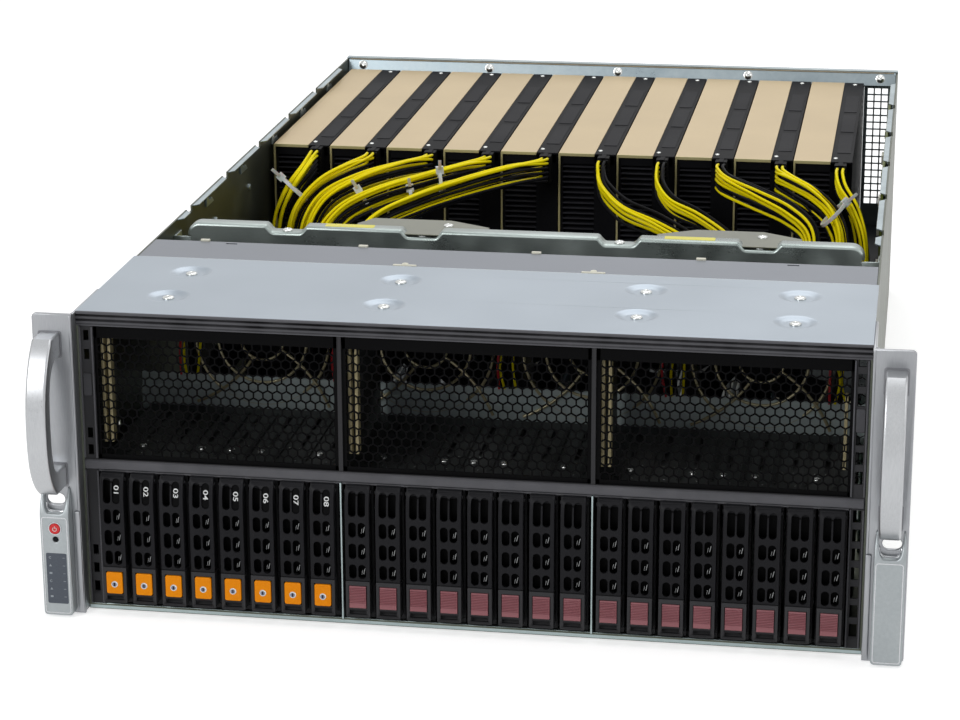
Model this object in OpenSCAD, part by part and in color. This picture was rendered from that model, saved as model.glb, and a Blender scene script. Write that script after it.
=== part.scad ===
// Rack server, four units high: drive trays and grilles in front, ten double-width
// cards behind a cross brace, hot-swap power supplies under the cards.
// X runs to the right, Y to the back, Z up. The origin is under the middle of the whole part.

/* [Chassis] */
// Width of the chassis body
body_w = 437; // [434:0.5:440]
// Depth of the chassis body
body_d = 737; // [730:1:790]
// Height of the chassis body
body_h = 177; // [176:0.5:180]
// Thickness of the steel sheet
sheet = 1.2; // [0.8:0.1:1.4]
// Height of the floor's front lip
floor_lip = 3.2; // [2.6:0.1:3.4]
// Width of a notch in the side walls' top edges
wall_notch_w = 12; // [6:1:20]
// Depth of a notch in the side walls' top edges
wall_notch_h = 3.5; // [1:0.5:6]
// Distance between the notches in the side walls
wall_notch_pitch = 92; // [60:1:94]
// Radius of the slide-rail screw holes in the side walls
rail_hole_r = 2.2; // [1.6:0.1:3]
// Distance between the slide-rail screw holes
rail_hole_pitch = 190; // [150:5:200]
// Height of the slide-rail screw holes
rail_hole_z = 88; // [70:1:110]

/* [Covers] */
// Depth of the front cover
cover_d = 117; // [110:1:118]
// Back edge of the fan cover behind it
fan_cover_back = 161; // [160:0.5:170]
// Height of the fan cover's turned-down back edge
fan_cover_hem = 8; // [4:0.5:12]
// Sideways place of the two slots near the fan cover's back edge
fan_cover_slot_x = 168.5; // [150:0.5:180]
// Width of those slots
fan_cover_slot_w = 7; // [5:0.5:9]
// Outer radius of a screw dimple
dimple_r = 11.5; // [9:0.5:13]
// Depth of a screw dimple
dimple_h = 1.6; // [1:0.1:2]
// Radius of the flat bottom of a dimple
dimple_floor_r = 6; // [5:0.5:7]
// Distance between the two rows of dimples
dimple_row = 50.8; // [40:0.4:56]

/* [Cross brace] */
// Front of the brace
brace_y = 199; // [185:1:205]
// Depth of the brace's flat top
brace_top_d = 10; // [8:0.5:14]
// Height of the brace's front wall
brace_h = 31; // [20:1:40]
// Room between the end of the brace's raised part and the side wall
brace_end_gap = 9; // [6:0.5:14]
// Radius of the raised part's upper corners
brace_corner_r = 8; // [4:0.5:12]
// Width of a notch at its top
brace_notch_w = 24; // [20:0.5:28]
// Width of a notch at its bottom
brace_notch_floor_w = 16; // [12:0.5:18]
// Depth of a notch
brace_notch_h = 4.3; // [2:0.1:6]
// How far the cable plates reach behind the brace
plate_reach = 27; // [20:1:30]
// Depth of the cable plates' slanted corners
plate_taper = 14; // [8:1:18]

/* [Front frame] */
// Thickness of the front frame
frame_t = 1.5; // [1:0.1:2]
// Height of the frame's top bar
frame_top_h = 8.5; // [6:0.5:10]
// Height of the bar between the grilles and the trays
frame_bar_h = 5.5; // [4:0.5:7]
// Width of the posts between the grilles
frame_post_w = 2.4; // [1.8:0.2:4]
// Thickness of the grilles
grille_t = 0.8; // [0.6:0.1:1.2]
// Distance between the holes of the grilles
grille_pitch = 10.72; // [9:0.1:14]
// Width of the webs between the holes
grille_web = 1.7; // [1.2:0.1:2.4]
// Solid border of a grille above and below its holes
grille_border = 3; // [2:0.5:6]

/* [Drive bays] */
// Trays in a group
bays = 8; // [6:1:8]
// Width of the slotted strips between the trays and the side walls
side_strip = 8.2; // [7.6:0.1:8.6]
// Gap between the groups of trays
group_gap = 2.7; // [2.4:0.1:3.6]
// Gap between neighbouring trays' carriers
carrier_gap = 1.2; // [1:0.1:1.4]
// How much narrower a tray's face is than its carrier
face_margin = 2.4; // [2:0.1:3.6]
// Bottom of a tray's face
tray_face_z = 7.5; // [6:0.5:9]
// Top of a tray's face
tray_face_top = 84; // [82:0.5:84.4]
// How far the trays stand out in front of the chassis
tray_reach = 8; // [6:0.5:9]
// Length of a tray
tray_len = 122; // [116:1:122]
// Depth of a tray's face block
tray_face_d = 9; // [8:0.5:9.5]
// Thickness of the carrier's rails
tray_rail = 3.2; // [2.4:0.1:3.4]
// Bottom of the handle lever
lever_z = 29.3; // [27:0.1:31]
// Radius of the lever's pivot pin
lever_pin_r = 1.2; // [0.8:0.1:1.4]
// Width of the release tab
tab_w = 9.4; // [7:0.1:10]
// Height of the release tab
tab_h = 12.8; // [10:0.1:14]
// Height of the release tab's middle
tab_z = 19.6; // [18.4:0.1:20]
// How much thinner a drive is than its carrier
drive_margin = 1; // [0.8:0.1:3]
// Height of a drive that stands on its edge
drive_h = 69.8; // [66:0.1:69.8]
// Length of a drive
drive_len = 100; // [90:0.5:100.5]
// Top of the drive cage
cage_top = 86; // [85.8:0.1:87]
// Depth of the drive cage
cage_d = 115; // [114.5:0.5:115.5]
// Slots across a group in the cage's roof
roof_slots = 7; // [4:1:7]
// Distance between the roof slots
roof_slot_pitch = 18.2; // [17:0.1:19]
// Distance between the two rows of roof slots
roof_slot_row = 30; // [26:1:32]
// Width of a roof slot
roof_slot_w = 3; // [2:0.5:5]
// Length of a roof slot
roof_slot_len = 22; // [14:1:24]
// Height of the guide ribs between the trays
guide_h = 2.5; // [1.5:0.1:3.5]
// Width of the guide ribs between the trays
guide_w = 0.6; // [0.4:0.1:0.6]

/* [Fans] */
// Side length of a fan
fan_size = 92; // [80:1:92]
// Thickness of a fan
fan_t = 38; // [25:1:38]
// Distance between neighbouring fans
fan_pitch = 98.6; // [96:0.2:100]
// Sideways place of the middle of the fan bank
fan_bank_x = 5.5; // [0:0.5:6]
// Width of the posts that carry the fans' deck
fan_post_w = 6; // [4:0.5:9]
// Outer edge of the inner posts, from the middle of the chassis
fan_post_x = 90; // [80:1:100]
// Radius of a rotor's hub
hub_r = 20; // [16:0.5:22]
// Blades on a rotor
blades = 7; // [5:1:9]
// Gap between the blade tips and the fan's frame
blade_gap = 1; // [0.6:0.1:2]
// Angle of the blades to the rotor's axis
blade_angle = 38; // [30:1:45]

/* [Cards] */
// Cards in the server
cards = 10; // [8:1:10]
// Distance between neighbouring cards
card_pitch = 40.64; // [40.4:0.02:40.8]
// Width of a card with its plate
card_w = 40.1; // [39:0.1:40.1]
// Width of the metal plate on top of a card
plate_w = 25.4; // [22:0.1:27]
// Room above the cards, up to the top of the chassis
card_head = 7.5; // [7:0.5:9]
// Room below the cards, down to their board
card_foot = 4.9; // [4:0.1:6]
// Height of the air slots in a card's bracket
card_slot_h = 4.6; // [3:0.1:5.4]
// Front of the cards
card_y = 451; // [448:1:460]
// Back of the cards' housings, short of the back panel
card_back_gap = 17; // [12:0.5:20]
// How far the cards' shelf starts ahead of the cards
shelf_lead = 61; // [58:0.5:62]
// Width of the socket under a card
card_socket_w = 8; // [6:0.5:9]
// Length of the socket under a card
card_socket_len = 90; // [80:1:110]
// Air slots in the front of a card
card_fins = 14; // [8:1:18]
// Width of a power plug
plug_w = 8.2; // [7:0.1:9]
// Height of a power plug
plug_h = 19.6; // [17:0.1:21]
// Diameter of a bundle of power wires
bundle_d = 11; // [8:0.5:12]

/* [Power supplies] */
// Power supplies side by side
supplies = 4; // [2:1:4]
// Width of a power supply
psu_w = 73.5; // [70:0.1:73.7]
// Height of a power supply
psu_h = 40; // [38:0.1:40.5]
// Length of a power supply
psu_len = 185; // [170:1:185]
// Distance between neighbouring power supplies
psu_pitch = 76; // [75.6:0.1:76.4]
// Reach of the handle behind a power supply
psu_handle = 25.5; // [22:0.5:30]
// Width of the release latch over the inlet
psu_latch_w = 18; // [14:1:20]
// Reach of the release latch
psu_latch_d = 9; // [7:0.5:12]
// Thickness of the walls between the power supplies
bay_wall = 1; // [0.8:0.1:1.2]
// Height of the shelf that carries the cards' board
shelf_z = 48.8; // [47:0.1:49.4]

/* [Back panel] */
// Distance between the vent holes beside the cards
vent_pitch = 5.5; // [5:0.1:6]
// Width of a vent hole
vent_hole = 4.4; // [3:0.1:4.6]
// Height of the window for the sockets
io_window_h = 24; // [20:1:30]
// Depth of the sockets' shells
socket_d = 22; // [18:1:26]
// Depth of the holes in the sockets
socket_hole_d = 14; // [10:1:16]
// Gap between neighbouring sockets
socket_gap = 4; // [3:0.5:5]
// Width of a network socket
net_w = 16; // [14:0.5:17]
// Height of a network socket
net_h = 14; // [12:0.5:16]
// Width of the double data socket
data_w = 15; // [13:0.5:16]
// Height of one floor of the double data socket
data_h = 8; // [7:0.5:9]
// Width of the display socket
display_plug_w = 31; // [28:0.5:32]
// Height of the display socket
display_plug_h = 12.5; // [11:0.5:14]
// Distance between the rivets of the top rail
rivet_pitch = 102.5; // [90:0.5:105]

/* [Boards] */
// Thickness of a circuit board
board_t = 1.6; // [1.2:0.1:2]
// Radius of the posts under the boards
standoff_r = 3; // [2:0.1:4]
// Height of the main board above the chassis floor
board_gap = 4.8; // [4:0.2:6]
// Width of a processor's heatsink
sink_w = 78; // [70:1:78]
// Length of a processor's heatsink
sink_len = 108; // [90:1:116]
// Top of the heatsinks
sink_top = 46; // [36:0.5:47]
// Fins on a heatsink
sink_fins = 19; // [8:1:24]
// Memory modules on each side of a processor
dimms = 8; // [4:1:8]
// Distance between neighbouring memory modules
dimm_pitch = 7.4; // [7:0.1:7.5]
// Length of a memory module
dimm_len = 133; // [120:0.5:134]
// Height of a memory module in its socket
dimm_h = 31; // [26:0.5:33]

/* [Rack ears] */
// Width of an ear beside the chassis
ear_w = 22.8; // [22.4:0.1:23.2]
// Front face of the ears, ahead of the chassis
ear_reach = 8.4; // [8:0.1:9.6]
// Thickness of the ears' front plates
ear_t = 3; // [2:0.1:4]
// Thickness of the ears' side flanges
ear_flange_t = 1.5; // [1.2:0.1:2]
// Depth of the ears' side flanges behind the chassis front
ear_flange_d = 46; // [30:1:60]
// Distance from an ear's outer edge to the middle of its rack screw slot
slot_inset = 8.75; // [8.4:0.05:9.1]
// Height of the rack screw slots
slot_z = 68.5; // [68.2:0.1:69]
// Half the height of a rack screw slot
slot_r = 3.3; // [3:0.1:3.5]
// Length of a rack screw slot from end to end
slot_len = 10.6; // [9:0.1:11]
// Width of the handles
handle_w = 11.7; // [10:0.1:13]
// Bottom of the handles
handle_z = 77; // [76.4:0.2:80]
// Height of the handles
handle_h = 89.5; // [84:0.5:94]
// Reach of the handles in front of the chassis
handle_reach = 40.8; // [38:0.1:44]
// Thickness of the handles' grips
grip_t = 9.5; // [8:0.5:11]
// Width of the lower ear covers
ear_cover_w = 17; // [16.4:0.1:17.2]
// Height of the lower ear covers
ear_cover_h = 59; // [57:0.5:60]
// Front face of the lower ear covers, ahead of the chassis
ear_cover_reach = 16; // [14:0.5:17]
// Radius of the power button
power_r = 3.1; // [2.6:0.1:3.4]
// Height of the power button
power_z = 53.5; // [53:0.1:54.5]
// Radius of the reset button
reset_r = 1.3; // [1:0.1:1.5]
// Height of the reset button
reset_z = 46.8; // [46.4:0.1:47.4]
// Distance from an ear's outer edge to its lower cover
ear_cover_inset = 1; // [0.6:0.1:1.4]
// How far the buttons and the display stand inwards of the cover's middle
control_shift = 0.25; // [0:0.05:0.4]
// How far the handles stand inwards of the rack screw slots
handle_shift = 1.3; // [0.8:0.1:1.8]
// Width of the status display
display_w = 12.4; // [10:0.1:13]
// Bottom of the status display
display_z = 8; // [6:0.5:10]
// Height of the status display
display_h = 31; // [26:0.5:33]

/* [Clearances] */
// Gap round a button
button_gap = 0.3; // [0.2:0.05:0.4]
// Gap round a release tab
tab_gap = 0.3; // [0.2:0.05:0.4]
// Gap round a pivot pin
pin_gap = 0.06; // [0.03:0.01:0.1]
// Gap between a tray and the parts beside it
tray_gap = 0.4; // [0.3:0.05:0.4]

/* [Hidden] */
$fn = 48;
eps = 0.01;
tray_names = [for (i = [1 : 3 * bays]) str("tray_", i < 10 ? "0" : "", i)];
rotor_names = [for (i = [1 : 4]) str("fan_rotor_", i)];
psu_names = [for (i = [1 : supplies]) str("power_supply_", i)];

half_w = body_w / 2;
in_w = half_w - sheet;
under_top = body_h - sheet;
back_y = body_d + 1.5 + psu_handle;
mid_y = (back_y - handle_reach) / 2;

// Drive bays
open_half = in_w - side_strip;
tray_pitch = 2 * (open_half - group_gap) / (3 * bays);
group_pitch = bays * tray_pitch + group_gap;
tray_w = tray_pitch - carrier_gap;
tray_face_w = tray_w - face_margin;
drive_w = tray_w - drive_margin;
cage_base = floor_lip + 0.4;
tray_z = cage_base + tray_gap;
carrier_top = cage_top - sheet - tray_gap - 0.6;
bar_z = cage_top - 1;
grille_z = bar_z + frame_bar_h;
grille_h = body_h - frame_top_h - grille_z;
cage_wall_x = open_half + 0.6;
post_t = 3;
post_y = tray_face_d + 1;
pivot_y = 5;
pivot_z = tray_face_top - 3.5;
screw_x = [-54, -19, -2, 15.5, 49.5];

// Fans
fan_y = cage_d + 5;
fan_z = under_top - sheet - fan_size - 0.3;
fan_lip_top = 105;

// Cards
card_x0 = -half_w + 5.4;
card_top = body_h - card_head;
cards_board_z = shelf_z + sheet + 2;
card_z = cards_board_z + board_t + card_foot;
card_h = card_top - card_z;
card_back = body_d - card_back_gap;
connector_x = 32.3;
card_socket_x = 30;
bracket_rows = 12;
shelf_y = card_y - shelf_lead;
header_w = 14;
header_d = 12;

// Supplies
psu_x0 = -in_w + (psu_pitch + bay_wall) / 2 + 1;
psu_z = sheet + 0.6;
psu_right = psu_x0 + (supplies - 0.5) * psu_pitch;

// Main board
board_z = sheet + board_gap;
board_top = board_z + board_t;
board_y = brace_y - 9;
board_back = body_d - psu_len - 8;
io_x0 = psu_right + 12;
cpu_x = 105;
cpu_y = 300;

// Ears
ear_x = half_w + ear_w;
slot_x = ear_x - slot_inset;
ear_cover_x = ear_x - ear_cover_inset - ear_cover_w / 2;
control_x = ear_cover_x - control_shift;
handle_x = slot_x - handle_shift - handle_w / 2;
dimple_x = [-175.5, -52, 89, 175.5];
dimple_y = 36.4;
fan_cover_peg_x = [-56.4, 54.7];
plates_x = [-105, -97, -48, -22, 82, 105, 146, 170];
plate_screw_x = [-47.8, 146];
brace_notch_x = [-145.5, -60.7, 60.7, 145.5];
ear_cover_z = 1;
display_depth = 0.6;
ear_screw_z = [24, 88, 152];

function flip(list) = [for (i = [len(list) - 1 : -1 : 0]) list[i]];

// Points of a cubic curve from a to d that leaves towards b and arrives from c
function curve(a, b, c, d, steps) =
    [for (i = [0 : steps]) let (t = i / steps, u = 1 - t)
        u * u * u * a + 3 * u * u * t * b + 3 * u * t * t * c + t * t * t * d];

// Point of a smooth curve through four neighbouring points, between the middle two
function between(a, b, c, d, t) =
    0.5 * (2 * b + (c - a) * t + (2 * a - 5 * b + 4 * c - d) * t * t
        + (3 * b - a - 3 * c + d) * t * t * t);
function smooth(points, steps) = let (n = len(points))
    concat([for (i = [0 : n - 2], k = [0 : steps - 1])
        between(points[max(i - 1, 0)], points[i], points[i + 1], points[min(i + 2, n - 1)], k / steps)],
        [points[n - 1]]);
function unit(v) = v / norm(v);

module box(x0, x1, y0, y1, z0, z1) {
    translate([x0, y0, z0]) cube([x1 - x0, y1 - y0, z1 - z0]);
}
module both_sides() {
    children();
    mirror([1, 0, 0]) children();
}
module centred() {
    translate([0, -mid_y, 0]) children();
}
// A flat outline in X and Z, made thick towards the back
module upright(y, t) {
    translate([0, y + t, 0]) rotate([90, 0, 0]) linear_extrude(t) children();
}
module round_square(size, r) {
    for (x = [-1, 1], y = [-1, 1])
        translate([x * (size[0] / 2 - r), y * (size[1] / 2 - r)]) circle(r);
    square([size[0] - 2 * r, size[1]], center = true);
    square([size[0], size[1] - 2 * r], center = true);
}
module pill(w, z0, z1) {
    translate([0, z0 + w / 2]) circle(w / 2);
    translate([0, z1 - w / 2]) circle(w / 2);
    translate([-w / 2, z0 + w / 2]) square([w, z1 - z0 - w]);
}
module along_y(y, r, h) {
    translate([0, y, 0]) rotate([-90, 0, 0]) cylinder(h = h, r = r);
}

// ---- Casing

module chassis_tub() {
    notch_y0 = brace_y + 34;
    color("#9aa3a4") {
        box(-half_w, half_w, 0, body_d, 0, sheet);
        box(-in_w, in_w, 0, sheet, sheet, floor_lip);
        both_sides() difference() {
            box(in_w, half_w, 0, body_d, sheet, under_top);
            for (i = [0 : 4])
                box(in_w - 1, half_w + 1, notch_y0 + i * wall_notch_pitch,
                    notch_y0 + i * wall_notch_pitch + wall_notch_w, under_top - wall_notch_h, body_h);
            for (i = [0 : 3])
                translate([in_w - 1, ear_flange_d + 24 + i * rail_hole_pitch, rail_hole_z])
                    rotate([0, 90, 0]) cylinder(h = sheet + 2, r = rail_hole_r);
        }
    }
}

module rear_panel() {
    vent_x = card_x0 + cards * card_pitch + 2.4;
    vent_z = card_z + 11.5;
    vent_rows = floor((under_top - 16 - vent_z) / vent_pitch) + 1;
    color("#aab4b6") {
        upright(body_d - sheet, sheet) difference() {
            translate([-in_w, sheet]) square([2 * in_w, under_top - sheet]);
            translate([card_x0 - 0.4, card_z + 2])
                square([cards * card_pitch, card_h - 8]);
            for (i = [0 : supplies - 1])
                translate([psu_x0 + i * psu_pitch - psu_w / 2 - 0.6, sheet])
                    square([psu_w + 1.2, psu_h + 1.6]);
            translate([io_x0, board_top - 1]) square([in_w - 8 - io_x0, io_window_h]);
            for (i = [0 : 2], j = [0 : vent_rows - 1])
                translate([vent_x + i * vent_pitch, vent_z + j * vent_pitch]) square(vent_hole);
        }
        box(-half_w, half_w, body_d - 6, body_d, under_top, body_h);
    }
}

module top_cover() {
    color("#aeb8c1") difference() {
        union() {
            box(-half_w, half_w, 0, cover_d, under_top, body_h);
            for (x = dimple_x, j = [0, 1])
                translate([x, dimple_y + j * dimple_row, under_top - dimple_h])
                    cylinder(h = dimple_h, r1 = dimple_floor_r + sheet, r2 = dimple_r + sheet);
        }
        for (x = dimple_x, j = [0, 1])
            translate([x, dimple_y + j * dimple_row, body_h - dimple_h])
                cylinder(h = dimple_h + eps, r1 = dimple_floor_r, r2 = dimple_r);
    }
}

module fan_cover() {
    color("#96989f") difference() {
        union() {
            box(-in_w, in_w, cover_d - 14, fan_cover_back, under_top - sheet, under_top);
            box(-in_w, in_w, fan_cover_back - sheet, fan_cover_back,
                under_top - fan_cover_hem, under_top - sheet);
            for (x = fan_cover_peg_x)
                translate([x, cover_d + 7, under_top]) cylinder(h = sheet, r = 1.6);
        }
        both_sides() box(fan_cover_slot_x - fan_cover_slot_w / 2, fan_cover_slot_x + fan_cover_slot_w / 2,
            fan_cover_back - 6, fan_cover_back - 4, 0, body_h);
    }
}

screw_head_r = 3.4;
module screw_head(r, h) {
    difference() {
        cylinder(h = h, r = r);
        translate([0, 0, h - h / 2]) cylinder(h = h, r = r * 0.45, $fn = 6);
    }
}
module fasteners() {
    color("#d5d8d6") {
        for (x = dimple_x, j = [0, 1])
            translate([x, dimple_y + j * dimple_row, body_h - dimple_h]) screw_head(screw_head_r, 1.4);
        for (x = brace_notch_x)
            translate([x, brace_y + brace_top_d / 2, body_h - brace_notch_h]) screw_head(3.2, 1.8);
        for (x = plate_screw_x)
            translate([x, brace_y + brace_top_d + plate_taper, under_top]) screw_head(3, 1.2);
        for (i = [-2 : 2])
            translate([i * rivet_pitch, body_d - sheet, body_h - 5.5]) rotate([90, 0, 0])
                cylinder(h = 1, r1 = 3, r2 = 2);
        for (g = [-1 : 1], x = screw_x)
            translate([g * group_pitch + x, 38, cage_top]) screw_head(2.2, 1.2);
        both_sides() for (z = ear_screw_z)
            translate([half_w + ear_flange_t, ear_flange_d - 14, z]) rotate([0, 90, 0])
                screw_head(3, 0.9);
        for (x = [-in_w + 5, -in_w / 2, 0, in_w / 2, in_w - 5])
            translate([x, body_d, card_z - 3]) rotate([-90, 0, 0]) screw_head(2.8, 1.6);
    }
}

// Upper edge of the cross brace, seen from the front
function brace_edge(z) = let (w = in_w - brace_end_gap, r = brace_corner_r)
    concat([for (a = [180 : -15 : 90]) [-w + r + r * cos(a), z - r + r * sin(a)]],
        [for (x = brace_notch_x, p = [[-brace_notch_w, 0], [-brace_notch_floor_w, -brace_notch_h],
            [brace_notch_floor_w, -brace_notch_h], [brace_notch_w, 0]]) [x + p[0] / 2, z + p[1]]],
        [for (a = [90 : -15 : 0]) [w - r + r * cos(a), z - r + r * sin(a)]]);
module cable_plate(x0, x1, x2, x3) {
    back = brace_y + brace_top_d + plate_reach;
    translate([0, 0, under_top - sheet]) linear_extrude(sheet)
        polygon([[x0, brace_y + sheet / 2], [x0, back - plate_taper], [x1, back], [x2, back],
            [x3, back - plate_taper], [x3, brace_y + sheet / 2]]);
}
module cross_brace() {
    foot_top = body_h - brace_corner_r;
    foot_z = body_h - brace_h;
    color("#8d9692") {
        upright(brace_y, sheet) union() {
            polygon(concat(brace_edge(body_h), [[in_w - brace_end_gap, foot_z],
                [-in_w + brace_end_gap, foot_z]]));
            translate([-in_w, foot_z]) square([2 * in_w, foot_top - foot_z]);
        }
        upright(brace_y + sheet, brace_top_d - sheet)
            polygon(concat(brace_edge(body_h), flip(brace_edge(body_h - sheet))));
        both_sides() box(in_w - sheet, in_w, brace_y + sheet, brace_y + brace_top_d, foot_z, foot_top);
    }
    color("#8b8c80") difference() {
        union() {
            cable_plate(plates_x[0], plates_x[1], plates_x[2], plates_x[3]);
            cable_plate(plates_x[4], plates_x[5], plates_x[6], plates_x[7]);
        }
        for (x = brace_notch_x)
            box(x - brace_notch_w / 2 - 1, x + brace_notch_w / 2 + 1, brace_y, brace_y + brace_top_d + 1,
                0, body_h);
    }
}

// ---- Front

module front_frame() {
    color("#161616") {
        upright(0, frame_t) difference() {
            translate([-in_w, floor_lip]) square([2 * in_w, under_top - floor_lip]);
            translate([-open_half, 0]) square([2 * open_half, bar_z]);
            for (g = [-1 : 1])
                translate([g * group_pitch, grille_z + grille_h / 2])
                    square([group_pitch - frame_post_w, grille_h], center = true);
            both_sides() for (j = [0 : 13])
                translate([(open_half + in_w) / 2, 18 + j * 11]) square([3, 6], center = true);
        }
        box(-half_w, half_w, -frame_t, 0, body_h - frame_top_h, body_h);
    }
}

grille_row = grille_pitch * sqrt(3) / 2;
module grille_panel() {
    w = group_pitch - sheet;
    h = grille_h + frame_bar_h / 2 + 4;
    cols = floor((w - 5) / grille_pitch);
    rows = floor((grille_h - 2 * grille_border) / grille_row);
    difference() {
        square([w, h], center = true);
        for (j = [0 : rows - 1], i = [0 : cols - 1 - j % 2])
            translate([(i - (cols - 1 - j % 2) / 2) * grille_pitch, (j - (rows - 1) / 2) * grille_row])
                rotate(30) circle(r = (grille_pitch - grille_web) / sqrt(3), $fn = 6);
    }
}
module window_grilles() {
    color("#101010") upright(frame_t, grille_t)
        for (g = [-1 : 1]) translate([g * group_pitch, grille_z + grille_h / 2]) grille_panel();
}

module drive_cage() {
    y0 = frame_t;
    tunnel_top = body_h - frame_top_h - 4;
    color("#2b2d2e") {
        difference() {
            box(-cage_wall_x - sheet, cage_wall_x + sheet, y0, cage_d, cage_top - sheet, cage_top);
            for (g = [-1 : 1], i = [0 : roof_slots - 1], j = [0, 1])
                translate([g * group_pitch + (i - (roof_slots - 1) / 2) * roof_slot_pitch,
                    cage_d - 53 + j * roof_slot_row, 0])
                    box(-roof_slot_w / 2, roof_slot_w / 2, -roof_slot_len / 2, roof_slot_len / 2, 0, body_h);
        }
        box(-cage_wall_x - sheet, cage_wall_x + sheet, y0, cage_d, cage_base - sheet, cage_base);
        both_sides() {
            box(cage_wall_x, cage_wall_x + sheet, y0, cage_d, sheet, cage_top - sheet);
            box(group_pitch / 2 - sheet / 2, group_pitch / 2 + sheet / 2, y0, cage_d, sheet, cage_top - sheet);
            box(group_pitch / 2 - sheet / 2, group_pitch / 2 + sheet / 2, frame_t + grille_t, cage_d - 4,
                cage_top, tunnel_top);
            box(cage_wall_x, cage_wall_x + sheet, frame_t + grille_t, 26, cage_top, tunnel_top);
        }
        for (g = [-1 : 1], i = [1 : bays - 1]) {
            x = g * group_pitch + (i - bays / 2) * tray_pitch;
            box(x - guide_w / 2, x + guide_w / 2, y0 + 2, cage_d, cage_base, cage_base + guide_h);
            box(x - guide_w / 2, x + guide_w / 2, y0 + 2, cage_d, cage_top - sheet - guide_h,
                cage_top - sheet);
        }
    }
}

module drive_backplane() {
    color("#24543a") {
        upright(cage_d, board_t) difference() {
            translate([-cage_wall_x - sheet, cage_base - sheet])
                square([2 * (cage_wall_x + sheet), cage_top - cage_base]);
            for (g = [-1 : 1], i = [0 : bays - 1])
                translate([g * group_pitch + (i - (bays - 1) / 2) * tray_pitch, 74])
                    square([9, 12], center = true);
        }
        for (g = [-1 : 1], i = [0 : bays - 1])
            translate([g * group_pitch + (i - (bays - 1) / 2) * tray_pitch, cage_d + board_t, 0])
                box(-3, 3, 0, 4, 22, 62);
    }
}

// ---- Drive trays, each drawn with the middle of its face at X = 0 and the face at Y = 0

slot_rows = [[67.6, 82.3], [56.6, 65.3], [44, 52.9], [31.7, 40.2]];
module lever_side() {
    polygon(concat(curve([2.8, tray_face_top], [1, tray_face_top - 2], [0, tray_face_top - 8],
        [0, tray_face_top - 18], 6), [[0, lever_z], [tray_face_d, lever_z],
        [tray_face_d, pivot_z - 4], [8, pivot_z - 4], [8, tray_face_top]]));
}
module tray_lever() {
    difference() {
        union() {
            translate([-tray_face_w / 2, 0, 0]) rotate([90, 0, 90]) linear_extrude(tray_face_w) lever_side();
            translate([-tray_w / 2, pivot_y, pivot_z]) rotate([0, 90, 0])
                cylinder(h = tray_w, r = lever_pin_r);
        }
        translate([0, 1.6, 0])
            box(-tray_face_w / 2 + 1.2, tray_face_w / 2 - 1.2, 0, tray_face_d, lever_z + 1.2, pivot_z - 4);
        upright(-1, 4) for (x = [-2.45, 2.45], s = slot_rows) translate([x, 0])
            pill(3.7, s[0], min(s[1], pivot_z - 4));
    }
}
module tray_release() {
    box(-tab_w / 2, tab_w / 2, -0.8, 2, tab_z - tab_h / 2, tab_z + tab_h / 2);
}
module tray_carrier() {
    ear = (tray_w - tray_face_w) / 2 - 0.3;
    difference() {
        union() {
            box(-tray_face_w / 2, tray_face_w / 2, 0, post_y, tray_face_z, lever_z - 0.5);
            box(-tray_w / 2, tray_w / 2, post_y, post_y + post_t, tray_z, carrier_top);
            box(-tray_w / 2, tray_w / 2, post_y + post_t, tray_len, tray_z, tray_z + tray_rail);
            box(-tray_w / 2, tray_w / 2, post_y + post_t, tray_len, carrier_top - tray_rail, carrier_top);
            for (x = [-tray_w / 2, tray_w / 2 - ear])
                box(x, x + ear, pivot_y - 3, post_y, pivot_z - 4, carrier_top - 0.4);
        }
        box(-tab_w / 2 - tab_gap, tab_w / 2 + tab_gap, -1, 3.8, tab_z - tab_h / 2 - tab_gap,
            tab_z + tab_h / 2 + tab_gap);
        translate([-tray_w, pivot_y, pivot_z]) rotate([0, 90, 0])
            cylinder(h = 2 * tray_w, r = lever_pin_r + pin_gap);
        for (z = [32, 48, 64])
            box(-5, 5, post_y - 1, post_y + post_t + 1, z, z + 12);
    }
}
module tray_drive() {
    z0 = tray_z + tray_rail;
    box(-drive_w / 2, drive_w / 2, post_y + post_t, post_y + post_t + drive_len, z0,
        min(z0 + drive_h, carrier_top - tray_rail - 0.4));
}
module at_bay(i) {
    g = floor(i / bays) - 1;
    translate([g * group_pitch + (i % bays - (bays - 1) / 2) * tray_pitch, -tray_reach, 0]) children();
}
module tray(i) {
    at_bay(i) {
        color("#202020") tray_carrier();
        color("#7a7d80") tray_drive();
        if (i > 0) color("#202020") tray_lever();
        if (i > 0) color(i < bays ? "#f59614" : "#6e323c") tray_release();
    }
}
module tray_lever_01() {
    color("#202020") at_bay(0) tray_lever();
}
module tray_release_01() {
    color("#f59614") at_bay(0) tray_release();
}

// ---- Rack ears

module slot_cut(y0, y1) {
    both_sides() for (s = [-1, 1])
        translate([slot_x + s * (slot_len / 2 - slot_r), 0, slot_z]) along_y(y0, slot_r, y1 - y0);
    both_sides() box(slot_x - slot_len / 2 + slot_r, slot_x + slot_len / 2 - slot_r, y0, y1,
        slot_z - slot_r, slot_z + slot_r);
}
module rack_ears() {
    color("#a2a4a8") difference() {
        both_sides() {
            box(half_w, ear_x, -ear_reach, -ear_reach + ear_t, 0, body_h);
            box(half_w, half_w + ear_flange_t, -ear_reach + ear_t, ear_flange_d, 0, body_h);
        }
        slot_cut(-ear_reach - 1, ear_t);
        translate([-control_x, 0, power_z]) along_y(-ear_reach - 1, power_r + button_gap, ear_t + 2);
        translate([-control_x, 0, reset_z]) along_y(-ear_reach - 1, reset_r + button_gap, ear_t + 2);
    }
}

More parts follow.
